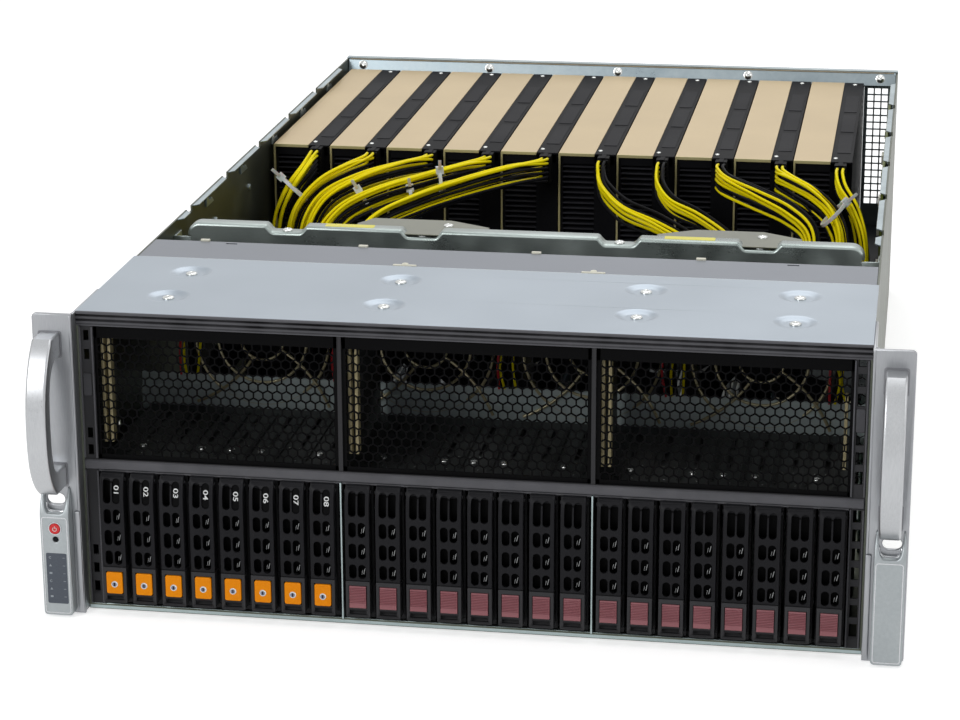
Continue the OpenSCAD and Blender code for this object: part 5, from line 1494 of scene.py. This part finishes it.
def buildDeck():
    deck = Shape()
    y0, top = fan["deckFront"], fan["deckTop"]
    section = [(fan["deckBack"], top - sheet), (fan["deckBack"], top)]
    section += [(y0 + 2.2, top), (y0 + 1.2, top + 1.0), (y0 + 1.2, fan["lipTop"] - 9),
        (y0 + 2.0, fan["lipTop"] - 8.2), (y0 + 2.0, fan["lipTop"] - 0.4), (y0 + 1.4, fan["lipTop"]),
        (y0 + 0.9, fan["lipTop"] - 0.5), (y0 + 0.8, fan["lipTop"] - 7.8), (y0, fan["lipTop"] - 8.8),
        (y0, top + 0.4), (y0 + 1.0, top - sheet)]
    deck.prism(section, sideways, -innerHalf + 0.2, innerHalf - 0.2, soft=0.15)
    for x in (-innerHalf + 0.2, -90, 84, innerHalf - 6.2):
        back = fan["deckBack"]
        deck.box(x, x + 6, back - 1.2, back, 1.3, top - 1, soft=0.3)
        deck.box(x, x + 1.2, back - 8, back - 0.5, 1.3, top - 1, soft=0.3)
        deck.box(x + 4.8, x + 6, back - 8, back - 0.5, 1.3, top - 1, soft=0.3)
    addPiece("fanDeck", deck, "chassis", railSteel, ["fan_wall"])


def fanFrameShape():
    frameShape = Shape()
    half, bore, deep = fan["half"], fan["bore"], fan["deep"]
    outline = roundedRect(-half, half, -half, half, 4.5, 6)
    ring = arc(0, 0, bore, 0, 354.375, 63)
    corners = [arc(sx * (half - 5.5), sz * (half - 5.5), 2.1, 0, 330, 11) for sx in (-1, 1)
        for sz in (-1, 1)]
    for y0, y1 in ((0.0, 3.6), (deep - 3.6, deep)):
        frameShape.punched(outline, [ring] + corners, upright, y0, y1)
    frameShape.lathe([(bore, 0.6), (bore + 1.5, 0.6), (bore + 1.5, deep - 0.6), (bore, deep - 0.6),
        (bore, 0.6)], upright, steps=64)
    for sx in (-1, 1):
        for sz in (-1, 1):
            x0, x1 = sorted((sx * (half - 9), sx * (half - 0.4)))
            z0, z1 = sorted((sz * (half - 9), sz * (half - 0.4)))
            for y0, y1 in ((3.2, 10), (deep - 10, deep - 3.2)):
                frameShape.box(x0, x1, y0, y1, z0, z1, soft=1.2)
    frameShape.lathe([(0, deep - 0.3), (fan["hub"] - 1, deep - 0.3), (fan["hub"], deep - 1.2),
        (fan["hub"], deep - 6)], upright, steps=48)
    for k in range(4):
        a = math.radians(30 + 90 * k)
        out, start = fan["bore"] + 0.5, fan["hub"] - 1
        side = Vector((-math.sin(a), 0, math.cos(a)))
        ahead = Vector((math.cos(a), 0, math.sin(a)))
        rows = []
        for r in (start, out):
            centre = ahead * r
            rows.append([centre + side * s + Vector((0, y, 0))
                for s, y in ((-2.4, deep - 0.6), (2.4, deep - 0.6), (1.6, deep - 4.4), (-1.6, deep - 4.4))])
        frameShape.skin(rows)
    return frameShape


def rotorShape():
    rotor = Shape()
    hub, deep = fan["hub"], fan["deep"]
    rotor.lathe([(0, 2.6), (hub - 5, 2.6), (hub - 2.2, 3.0), (hub - 0.7, 4.2), (hub, 6.2), (hub, deep - 8),
        (hub - 1, deep - 7.4), (0, deep - 7.4)], upright, steps=56)
    for b in range(fan["blades"]):
        rows = []
        for k in range(9):
            t = k / 8
            radius = hub - 0.8 + (fan["tip"] - hub + 0.8) * t
            chord = (27 - 4 * t) * (1 - 0.15 * t * t)
            pitch = math.radians(52 - 24 * t)
            lean = 2 * math.pi * b / fan["blades"] + 0.30 * t * t
            section = []
            for s in range(13):
                u = s / 12
                thick = 1.5 * (1 - t * 0.45) * math.sin(math.pi * min(1.0, u * 1.02)) ** 0.6 + 0.25
                section.append((u - 0.5, thick / 2))
            for s in range(12, -1, -1):
                u = s / 12
                thick = 1.5 * (1 - t * 0.45) * math.sin(math.pi * min(1.0, u * 1.02)) ** 0.6 + 0.25
                section.append((u - 0.5, -thick / 2))
            ring = []
            for u, h in section:
                camber = 2.4 * (0.25 - u * u) * (1 - 0.3 * t)
                along, off = u * chord, h + camber
                y = along * math.sin(pitch) - off * math.cos(pitch)
                sweep = (along * math.cos(pitch) + off * math.sin(pitch)) / radius
                a = lean + sweep
                ring.append((radius * math.cos(a), deep / 2 - 2.4 + y * 0.92, radius * math.sin(a)))
            rows.append(ring)
        rotor.skin(rows)
    return rotor


def atFan(mesh, index):
    mesh = mesh.copy()
    mesh.transform(Matrix.Translation((fan["centres"][index], fan["front"], fan["z"])))
    return mesh


def guardLines():
    lines = []
    y = fan["front"] - 1.5
    for x in fan["centres"]:
        for radius in (13, 27, 40.5):
            ring = [(x + radius * math.cos(2 * math.pi * k / 56), y, fan["z"]
                + radius * math.sin(2 * math.pi * k / 56)) for k in range(56)]
            lines.append((ring, True))
        for turn in range(4):
            a = math.radians(45 + 90 * turn)
            bend = 0.42
            route = []
            for k in range(15):
                r = 13 + (57 - 13) * k / 14
                b = a + bend * (1 - r / 57)
                route.append((x + min(44.5, abs(r * math.cos(b))) * math.copysign(1, math.cos(b)), y - 1.6,
                    fan["z"] + min(44.5, abs(r * math.sin(b))) * math.copysign(1, math.sin(b))))
            lines.append((route, False))
    return lines


def buildFans():
    frames = repeated(fanFrameShape(), [((x, fan["front"], fan["z"]),) for x in fan["centres"]], fanPlastic)
    addPiece("fanFrames", frames, "chassis", fanPlastic, smooth=36)
    rotor = rotorShape().mesh("rotor")
    for index in range(4):
        name = f"fan_rotor_{index + 1}"
        addPiece(f"fanRotor{index + 1}", atFan(rotor, index), name, rotorPlastic, [name],
            smooth=50)
    addPiece("wireGuards", pipesAlong(guardLines(), 0.95, 8, wireGuard), "chassis", wireGuard,
        smooth=60)
    rng = random.Random(12)
    leads = {yellowWire: [], redPlastic: [], blackWire: []}
    for x in (-186, -92.5, 6, 104, 198):
        for k, material in enumerate((redPlastic, yellowWire, blackWire, yellowWire)):
            start = Vector((x - 5 + 3.1 * k, 112 + k, 106))
            route = [start, start + Vector((rng.uniform(-3, 3), rng.uniform(-2, 1), 16)), start
                + Vector((rng.uniform(-5, 5), rng.uniform(-1, 3), 34)), start
                + Vector((rng.uniform(-4, 4), 4, 56))]
            leads[material].append((smoothRoute(route, 6), False))
    for material, lines in leads.items():
        addPiece("fanLeads" + material.name[:3].capitalize(), pipesAlong(lines, 0.8, 8, material),
            "chassis", material, smooth=60)


railSteel = finish("railSteel", paint(186, 200, 200), paint(214, 226, 226), (0.26, 0.4), metal=0.3,
    stretch=(1, 8, 8), scale=260.0, cloud=8.0, depth=0.6, bump=0.05)
rotorPlastic = darkCoat("rotorPlastic", (22, 22, 24), (34, 34, 37), (0.24, 0.34), scale=1200.0)
buildDeck()
buildFans()
print("fans ready")


# Ten cards with their plates, plugs and power wires

card = {"first": -213.1, "pitch": 40.64, "count": 10, "width": 40.1, "plate": 25.4, "front": 451.0,
    "back": 720.0, "low": 58.5, "top": 169.5, "plug": 32.3, "plugHalf": 4.1, "plugFront": 438.0,
    "plugTall": 19.6, "fins": 26}

cardRoutes = [
    [(-181, 438, 160), (-181, 432, 160), (-184, 420, 155), (-191, 410, 144), (-197, 404, 127), (-198, 401, 104),
     (-192, 406, 84), (-190, 409, 75), (-190, 409, 70)],
    [(-141, 438, 160), (-142, 431, 160), (-152, 417, 158), (-168, 404, 150), (-181, 392, 134), (-184, 386, 110),
     (-176, 398, 86), (-172, 409, 75), (-172, 409, 70)],
    [(-99, 438, 160), (-101, 431, 161), (-114, 417, 161), (-140, 400, 155), (-162, 385, 143), (-170, 374, 120),
     (-162, 386, 92), (-154, 409, 75), (-154, 409, 70)],
    [(-58, 438, 160), (-60, 431, 161), (-72, 418, 161), (-96, 400, 157), (-124, 384, 150), (-146, 368, 140),
     (-156, 358, 122), (-148, 374, 94), (-136, 409, 75), (-136, 409, 70)],
    [(-18, 438, 160), (-20, 431, 161), (-36, 418, 161), (-66, 400, 155), (-98, 382, 146), (-122, 364, 136),
     (-134, 350, 118), (-130, 366, 92), (-118, 409, 75), (-118, 409, 70)],
    [(22, 438, 160), (22, 431, 158), (26, 418, 151), (42, 400, 142), (68, 384, 136), (94, 368, 126), (110, 358, 108),
     (116, 376, 88), (118, 409, 75), (118, 409, 70)],
    [(63, 438, 160), (63, 431, 159), (65, 418, 154), (75, 404, 146), (94, 392, 140), (116, 380, 128), (132, 372, 110),
     (136, 386, 88), (136, 409, 75), (136, 409, 70)],
    [(104, 438, 160), (104, 431, 160), (111, 418, 158), (132, 402, 153), (154, 388, 146), (168, 376, 135),
     (168, 364, 112), (158, 378, 88), (154, 409, 75), (154, 409, 70)],
    [(144, 438, 160), (145, 431, 160), (153, 419, 159), (168, 406, 154), (181, 394, 145), (188, 382, 131),
     (186, 376, 108), (177, 388, 86), (172, 409, 75), (172, 409, 70)],
    [(185, 438, 160), (185, 432, 159), (188, 422, 154), (196, 411, 144), (202, 402, 128), (203, 398, 106),
     (196, 404, 86), (190, 409, 75), (190, 409, 70)]]


def cardLeft(index):
    return card["first"] + index * card["pitch"]


def buildPlates():
    plates, lips = Shape(), Shape()
    front, back, top = card["front"], card["back"], card["top"]
    for i in range(card["count"]):
        left = cardLeft(i)
        section = [(left + card["plate"] - 0.1, top), (left + 0.6, top), (left + 0.15, top - 0.25),
            (left, top - 0.8), (left, card["low"]), (left + sheet, card["low"]),
            (left + sheet, top - sheet), (left + card["plate"] - 0.1, top - sheet)]
        plates.prism(section, upright, front + 0.5, back, soft=0.2)
        lips.prism([(u, v) for u, v in ((left + card["plate"] - 0.3, top - 0.05), (left + 0.8, top - 0.05),
            (left, top - 0.8), (left, card["low"] + 1), (left + 1.3, card["low"] + 1),
            (left + 1.3, top - 2.1), (left + card["plate"] - 0.3, top - 2.1))], upright, front - 0.3, front
            + 0.7, soft=0.15)
    addPiece("cardPlates", plates, "chassis", cardPlate, ["gpu_plates"])
    addPiece("plateLips", lips, "chassis", plateLip)


def buildShrouds():
    shells, strips, pads, fins = Shape(), Shape(), Shape(), []
    front, back, top, low = card["front"], card["back"], card["top"], card["low"]
    for i in range(card["count"]):
        left = cardLeft(i)
        right = left + card["width"]
        shells.box(left + 1.25, right, front + 9, back, low, top - 1.3, soft=0.5)
        for x0, x1 in ((left + 1.25, left + 3.1), (left + card["plate"] - 0.6, right)):
            shells.box(x0, x1, front + 1, front + 10, low, top - 1.3, soft=0.4)
        shells.box(left + 2, right - 1, front + 1, front + 10, low, low + 5, soft=0.4)
        shells.box(left + 2, right - 1, front + 1, front + 10, top - 8, top - 1.4, soft=0.4)
        shells.box(left + 3.2, right - 4, back - 1, bodyDepth - 2.6, low + 4, top - 12, soft=0.6)
        strips.box(left + card["plate"] + 0.15, right, front - 1, back, top - 1.4, top, soft=0.35)
        y = front + 26
        for length in (58, 58, 58):
            pads.prism(roundedRect(left + card["plate"] + 3.2, right - 2.0, y, y + length, 0.8), flat,
                top - 0.1, top + 0.28, soft=0.15)
            y += length + 9
        for k in range(card["fins"]):
            z = low + 8 + k * (top - low - 18) / (card["fins"] - 1)
            fins.append(((left + 14.0, front + 5.2, z),))
    addPiece("cardShells", shells, "chassis", cardBlack, ["gpu_shrouds"])
    addPiece("cardStrips", strips, "chassis", cardBlack)
    addPiece("cardPads", pads, "chassis", padBlack)
    fin = Shape()
    fin.box(-11.2, 11.2, -3.9, 3.9, -0.55, 0.55, soft=0.25, segments=1)
    addPiece("cardFins", repeated(fin, fins, finPaint), "chassis", finPaint)


def buildPlugs():
    housings, clips, screws = Shape(), Shape(), []
    top = card["top"]
    for i in range(card["count"]):
        x = cardLeft(i) + card["plug"]
        half, y = card["plugHalf"], card["plugFront"]
        z0, z1 = top - 0.5 - card["plugTall"], top - 0.5
        housings.box(x - half, x + half, y + 3, card["front"] + 1, z0, z1, soft=0.5)
        for k in range(6):
            z = z0 + 0.6 + k * (z1 - z0 - 1.2) / 6
            for side in (-1, 1):
                housings.box(x + side * 2 - 1.75, x + side * 2 + 1.75, y, y + 4, z + 0.15, z + 2.75,
                    soft=0.3)
        clips.box(x - 1.7, x + 1.7, y + 2, card["front"] - 1, z1 - 0.2, z1 + 0.45, soft=0.3)
        screws.append(((cardLeft(i) + 33.5, card["back"] - 8, top), (0, 0, 30 * i), (0.5, 0.5, 0.5)))
        screws.append(((cardLeft(i) + 28.4, card["front"] + 9, top), (0, 0, 25 * i), (0.45, 0.45, 0.5)))
    addPiece("plugHousings", housings, "chassis", innerPlastic)
    addPiece("plugClips", clips, "chassis", cardBlack)
    addPiece("cardScrews", repeated(panHead(*screwSizes["head"]), screws, screwSteel), "chassis",
        screwSteel, smooth=45)


wires = {"radius": 1.05, "rows": 6, "pitch": 3.05, "bundle": 6.2, "steps": 7, "sides": 8}


def wireLines(index, rng):
    route = smoothRoute(cardRoutes[index], wires["steps"])
    count = len(route)
    side, frames = None, []
    for k, point in enumerate(route):
        ahead = (route[min(k + 1, count - 1)] - route[max(k - 1, 0)]).normalized()
        if side is None:
            side = Vector((1, 0, 0))
        side = (side - ahead * side.dot(ahead)).normalized()
        frames.append((side.copy(), side.cross(ahead)))
    strands = []
    for row in range(wires["rows"]):
        for column in (-1, 1):
            place = (column * 2.0, (row - (wires["rows"] - 1) / 2) * wires["pitch"])
            turn = math.atan2(place[1], place[0])
            inner = (row in (2, 3))
            radius = wires["bundle"] * (0.34 if inner else 0.98)
            packed = (radius * math.cos(turn) + rng.uniform(-0.5, 0.5), radius * math.sin(turn)
                + rng.uniform(-0.5, 0.5))
            phase, swing = rng.uniform(0, 6.28), rng.uniform(0.6, 2.4)
            line = []
            for k, (point, (across, up)) in enumerate(zip(route, frames)):
                t = k / (count - 1)
                gather = min(1.0, max(0.0, (t - 0.03) / 0.22))
                gather = gather * gather * (3 - 2 * gather)
                spread = min(1.0, max(0.0, (t - 0.8) / 0.2))
                spread = spread * spread * (3 - 2 * spread)
                u = place[0] + (packed[0] - place[0]) * gather
                v = place[1] + (packed[1] - place[1]) * gather
                loose = math.sin(math.pi * min(1, t * 1.15)) ** 2
                u += swing * loose * math.sin(phase + 5 * t)
                v += swing * loose * math.cos(phase * 1.7 + 4 * t)
                u += (column * 1.7 - u) * spread
                v += ((row - 2.5) * 2.1 - v) * spread
                line.append(point + across * u + up * v)
            strands.append((line, row, column))
    return strands


def buildWires():
    rng = random.Random(21)
    yellow, black = [], []
    for i in range(card["count"]):
        for line, row, column in wireLines(i, rng):
            if i < 5:
                isYellow = column < 0 or row < 2
            else:
                isYellow = column < 0 and row != 4 or (i > 7 and row == 0)
            (yellow if isYellow else black).append((line, False))
    addPiece("yellowWires", pipesAlong(yellow, wires["radius"], wires["sides"], yellowWire), "chassis",
        yellowWire, ["gpu_power_cables"], smooth=60)
    addPiece("blackWires", pipesAlong(black, wires["radius"], wires["sides"], blackWire), "chassis",
        blackWire, smooth=60)


tieHead = {"half": 2.6, "deep": 2.2}
ties = [((-196, 400, 158), (-176, 400, 140), 11.5), ((-139, 385, 155), (-128, 385, 138), 8.0),
    ((-105, 395, 155), (-104, 395, 147), 7.5), ((-85, 400, 167), (-84, 400, 150), 8.5),
    ((190, 395, 155), (176, 385, 141), 10.5)]


def buildTies():
    band = Shape()
    for start, stop, size in ties:
        a, b = Vector(start), Vector(stop)
        middle, long = (a + b) / 2, (a - b)
        axis = long.normalized()
        out = Vector((0.25, -0.95, 0.15))
        out = (out - axis * out.dot(axis)).normalized()
        width = axis.cross(out)
        reach = long.length / 2
        rows = []
        for k in range(36):
            t = 2 * math.pi * k / 36
            centre = middle + axis * (reach * math.cos(t)) + out * (size * 0.62 * math.sin(t))
            normal = (axis * math.cos(t) / reach + out * math.sin(t) / (size * 0.62)).normalized()
            rows.append([centre + normal * 0.45 + width * 1.2, centre + normal * 0.45 - width * 1.2,
                centre - normal * 0.45 - width * 1.2, centre - normal * 0.45 + width * 1.2])
        rows.append(rows[0])
        band.skin(rows, capped=False)
        head = a + out * 1.5
        corner = ringOf((0, 0), tieHead["half"], tieHead["half"])
        band.skin([[head + width * u + axis * v + out * w for u, v in corner]
            for w in (-tieHead["deep"] / 2, tieHead["deep"])])
        tail = [head + out * 1.4, head + out * 4 + axis * 3, head + out * 6.5 + axis * 8]
        rows = [[p + width * 1.1 + axis * 0.3, p - width * 1.1 + axis * 0.3, p - width * 1.1 - axis * 0.3,
            p + width * 1.1 - axis * 0.3] for p in smoothRoute(tail, 4)]
        band.skin(rows)
    addPiece("cableTies", band, "chassis", tieNylon, bevel=0.15)


def buildBrackets():
    addPiece("cardBrackets", softCopy("gpu_brackets", 0.15), "chassis", zincSteel,
        ["gpu_brackets"])


finPaint = darkCoat("finPaint", (14, 14, 16), (24, 24, 26), (0.28, 0.4), wear=paint(44, 44, 48))
buildPlates()
buildShrouds()
buildPlugs()
buildWires()
buildTies()
buildBrackets()
print("cards ready")


# Boards, sockets, heatsinks, memory, shelf and power supplies

board = {"sinks": (-105, 105), "sinkY": 300}


def scatterTree():
    tree = newTree("partsOnBoard", [("Source", "Object"), ("Density", "Float"), ("Seed", "Int"),
        ("Small", "Float"), ("Large", "Float"), ("Material", "Material")])
    start = node(tree, "NodeGroupInput")
    source = node(tree, "GeometryNodeObjectInfo", {"Object": start.outputs["Source"]})
    spread = node(tree, "GeometryNodeDistributePointsOnFaces", {"Mesh": start.outputs["Geometry"],
        "Distance Min": 4.0, "Density Max": start.outputs["Density"], "Seed": start.outputs["Seed"]},
        distribute_method="POISSON")
    size = node(tree, "FunctionNodeRandomValue", {"Seed": start.outputs["Seed"]}, data_type="FLOAT")
    floats = [socket for socket in size.inputs if socket.type == "VALUE" and socket.name in ("Min", "Max")]
    tree.links.new(start.outputs["Small"], floats[0])
    tree.links.new(start.outputs["Large"], floats[1])
    quarter = node(tree, "FunctionNodeRandomValue", {"Seed": 7}, data_type="INT")
    whole = [socket for socket in quarter.inputs if socket.type == "INT" and socket.name in ("Min", "Max")]
    whole[0].default_value, whole[1].default_value = 0, 3
    turn = node(tree, "ShaderNodeMath", {0: quarter.outputs[2], 1: math.pi / 2}, operation="MULTIPLY")
    rotation = node(tree, "ShaderNodeCombineXYZ", {"Z": turn.outputs[0]})
    placed = node(tree, "GeometryNodeInstanceOnPoints", {"Points": spread.outputs["Points"],
        "Instance": source.outputs["Geometry"], "Rotation": rotation.outputs["Vector"],
        "Scale": size.outputs[1]})
    real = node(tree, "GeometryNodeRealizeInstances", {"Geometry": placed.outputs["Instances"]})
    dressed = node(tree, "GeometryNodeSetMaterial", {"Geometry": real.outputs["Geometry"],
        "Material": start.outputs["Material"]})
    node(tree, "NodeGroupOutput", {"Geometry": dressed.outputs["Geometry"]})
    return tree


scatter = scatterTree()


def scattered(source, areas, density, seed, small, large, material):
    patch = Shape()
    for x0, x1, y0, y1, z in areas:
        patch.bm.faces.new([patch.bm.verts.new(p) for p in ((x0, y0, z), (x1, y0, z), (x1, y1, z),
            (x0, y1, z))])
    origin = bpy.data.objects.new("source", source.mesh("source"))
    scene.collection.objects.link(origin)
    mesh = runTree(scatter, patch.mesh("areas"), {"Source": origin, "Density": density, "Seed": seed,
        "Small": small, "Large": large, "Material": material})
    bpy.data.objects.remove(origin)
    return mesh


def chipShape():
    chip = Shape()
    chip.box(-1.9, 1.9, -1.2, 1.2, 0, 1.1, soft=0.15, segments=1)
    return chip


def canShape():
    can = Shape()
    can.lathe([(0, 0), (2.5, 0), (2.5, 5.4), (2.2, 5.8), (0, 5.8)], flat, steps=16)
    return can


mainAreas = [(-210, -194, 196, 420, 7.6), (194, 210, 196, 400, 7.6), (-12, 12, 200, 400, 7.6),
    (-205, 205, 378, 440, 7.6), (-200, 96, 448, 540, 7.6), (112, 205, 560, 700, 7.6)]
cardAreas = [(-200, 200, 420, 448, 53.6), (-205, 205, 395, 400, 53.6)]


sideBoard = {"front": 420, "back": 725, "low": 62, "high": 166}


def buildMainBoard():
    addPiece("mainBoard", softCopy("motherboard", 0.15), "chassis", greenBoard,
        ["motherboard"])
    addPiece("boardChips", scattered(chipShape(), mainAreas, 0.02, 3, 0.6, 1.7, chipBlack), "chassis",
        chipBlack)
    addPiece("boardCans", scattered(canShape(), mainAreas[3:5], 0.002, 5, 0.8, 1.2, sinkAluminium),
        "chassis", sinkAluminium, smooth=45)
    addPiece("cardBoard", softCopy("gpu_board", 0.15), "chassis", blackBoard, ["gpu_board"])
    addPiece("cardBoardChips", scattered(chipShape(), cardAreas, 0.02, 8, 0.5, 1.4, chipBlack), "chassis",
        chipBlack)
    sockets = Shape()
    for route in cardRoutes:
        x, y, z = route[-1]
        sockets.box(x - 7.2, x + 7.2, y - 6.2, y + 6.2, z - 12, z - 1.5, soft=0.5)
        for k in range(6):
            for side in (-1, 1):
                sockets.box(x + (k - 2.5) * 2.3 - 0.9, x + (k - 2.5) * 2.3 + 0.9, y + side * 3 - 2.4, y
                    + side * 3 + 2.4, z - 2, z + 0.6, soft=0.2)
    addPiece("cardSockets", sockets, "chassis", innerPlastic)
    side = Shape()
    start, stop, low, high = (sideBoard[key] for key in ("front", "back", "low", "high"))
    side.box(innerHalf - 4.2, innerHalf - 2.6, start, stop, low, high, soft=0.2)
    addPiece("sideBoard", side, "chassis", greenBoard)
    rim = Shape()
    rim.box(innerHalf - 4.3, innerHalf - 2.5, start - 0.5, start + 0.4, low, high, soft=0.1)
    rim.box(innerHalf - 4.3, innerHalf - 2.5, start - 0.5, stop, high - 0.6, high + 0.4, soft=0.1)
    addPiece("sideBoardRim", rim, "chassis", edgeBoard)
    bits = Shape()
    rng = random.Random(6)
    for k in range(16):
        y, z = rng.uniform(430, 715), rng.uniform(68, 160)
        wide, tall = rng.uniform(2, 6), rng.uniform(2, 5)
        bits.box(innerHalf - 6.2, innerHalf - 4.1, y - wide, y + wide, z - tall, z + tall, soft=0.3)
    addPiece("sideBoardParts", bits, "chassis", creamPlastic)


def buildSinks():
    addPiece("heatsinks", softCopy("cpu_heatsinks", 0.12), "chassis", sinkAluminium,
        ["cpu_heatsinks"])
    addPiece("memory", softCopy("memory_modules", 0.12), "chassis", blackBoard,
        ["memory_modules"])
    gold, latches = Shape(), Shape()
    for x in board["sinks"]:
        for side in (-1, 1):
            for i in range(8):
                place = x + side * (44.4 + 7.4 * i)
                gold.box(place - 0.9, place + 0.9, 240, 360, 15.0, 15.9, soft=0.1)
                for y in (board["sinkY"] - 69.5, board["sinkY"] + 69.5):
                    latches.box(place - 2.2, place + 2.2, y - 2, y + 2, 13, 24, soft=0.5)
    addPiece("memoryContacts", gold, "chassis", goldPlate)
    addPiece("memoryLatches", latches, "chassis", creamPlastic)
    addPiece("cardShelf", softCopy("gpu_shelf", 0.2), "chassis", zincSteel, ["gpu_shelf"])
    addPiece("ioPorts", softCopy("io_ports", 0.2), "chassis", portMetal, ["io_ports"])
    inner = Shape()
    for x, wide, low, tall in ((104.2, 16, 7.6, 14), (124.2, 16, 7.6, 14), (144.2, 15, 7.6, 8),
            (144.2, 15, 15.6, 8)):
        inner.box(x + 2.5, x + wide - 2.5, bodyDepth - 13, bodyDepth - 8, low + 2.4, low + tall - 2.4,
            soft=0.2)
    addPiece("portInsides", inner, "chassis", innerPlastic)
    display = Shape()
    display.box(170.0, 187.0, bodyDepth - 13.8, bodyDepth - 0.4, 9.8, 17.8, soft=0.5)
    addPiece("displayPort", display, "chassis", bluePlastic)
    for where, x in (("Left", 166.5), ("Right", 192.0)):
        posts = Shape()
        posts.lathe([(0, bodyDepth + 0.9), (2.0, bodyDepth + 0.9), (2.4, bodyDepth + 0.5),
            (2.4, bodyDepth - 1)], upright, (x, 13.8), 6)
        addPiece("portPost" + where, posts, "chassis", brightSteel)


supply = {"first": -177.8, "pitch": 76.0, "half": 36.75, "low": 1.8, "face": 738.5}


def buildSupplies():
    for i in range(4):
        name = f"power_supply_{i + 1}"
        tag = f"supply{i + 1}"
        x = supply["first"] + i * supply["pitch"]
        face, low = supply["face"], supply["low"]
        addPiece(tag + "Case", softCopy(name, 0.35), name, supplyMetal, [name])
        grip = Shape()
        left = x - supply["half"] + 3
        outline = [(face, low + 3), (face + 18, low + 3)] + arc(face + 20.3, low + 8.2, 5.0, 270, 360, 6)
        outline += arc(face + 20.3, low + 31.8, 5.0, 0, 90, 6) + [(face, low + 37), (face, low + 32.6)]
        outline += arc(face + 18.2, low + 29.6, 3.0, 90, 0, 5) + arc(face + 18.2, low + 10.4, 3.0, 0, -90,
            5)
        outline += [(face, low + 7.4)]
        grip.prism(outline, sideways, left - 0.2, left + 7.2, soft=0.9, segments=3)
        addPiece(tag + "Grip", grip, name, darkButton)
        inlet = Shape()
        cx, cz = x + supply["half"] - 16, low + 18
        inlet.punched(roundedRect(cx - 13.2, cx + 13.2, cz - 10, cz + 10, 2.0),
            [roundedRect(cx - 11, cx + 11, cz - 7.6, cz + 7.6, 2.2)], upright, face - 0.6, face + 1.0)
        inlet.box(cx - 11.5, cx + 11.5, face - 13.6, face - 12.4, cz - 8.6, cz + 8.6, soft=0.2)
        addPiece(tag + "Inlet", inlet, name, innerPlastic)
        pins = Shape()
        for dx, dz in ((-6.5, -2), (6.5, -2), (0, 2.5)):
            pins.box(cx + dx - 0.9, cx + dx + 0.9, face - 12.6, face - 2.5, cz + dz - 2, cz + dz + 2,
                soft=0.3)
        addPiece(tag + "Pins", pins, name, brightSteel)
        latch = Shape()
        lx = x + supply["half"] - 15
        latch.prism([(face - 0.3, low + 32.7), (face + 8.0, low + 32.7), (face + 9.3, low + 33.6),
            (face + 9.3, low + 36.4), (face + 8.2, low + 36.6), (face + 7, low + 36.3),
            (face - 0.3, low + 36.3)], sideways, lx - 9.3, lx + 9.3, soft=0.4)
        for k in range(5):
            latch.box(lx - 7, lx + 7, face + 2.0 + k * 1.3, face + 2.6 + k * 1.3, low + 36.2, low + 36.7,
                soft=0.1)
        addPiece(tag + "Latch", latch, name, latchGreen)
        lamp = Shape()
        lamp.lathe([(0, face + 0.9), (1.0, face + 0.8), (1.5, face + 0.3), (1.5, face - 0.5)], upright,
            (x - 4, low + 5), 20)
        addPiece(tag + "Lamp", lamp, name, lampGlass, smooth=50)
        blower = Shape()
        fx, fz = x - supply["half"] + 29, low + 18.5
        blower.lathe([(0, face - 3.2), (5, face - 3.2), (5.6, face - 3.9), (0, face - 3.9)], upright,
            (fx, fz), 24)
        for k in range(7):
            a = 2 * math.pi * k / 7
            arm = [(fx + 5 * math.cos(a), fz + 5 * math.sin(a)), (fx + 14 * math.cos(a + 0.15), fz
                + 14 * math.sin(a + 0.15)), (fx + 14 * math.cos(a + 0.6), fz + 14 * math.sin(a + 0.6)),
                (fx + 5 * math.cos(a + 0.7), fz + 5 * math.sin(a + 0.7))]
            blower.prism(arm, upright, face - 3.8, face - 3.3, soft=0.1)
        addPiece(tag + "Blower", blower, name, innerPlastic)


bluePlastic = coat("bluePlastic", (40, 70, 150), (54, 86, 170), (0.35, 0.45))
lampGlass = coat("lampGlass", (60, 190, 90), (80, 210, 110), (0.15, 0.2))
buildMainBoard()
buildSinks()
buildSupplies()
print("inside ready")


for name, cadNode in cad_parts.items():
    if not cadNode.hide_render:
        cadNode.data.materials.clear()
        cadNode.data.materials.append(zincSteel)
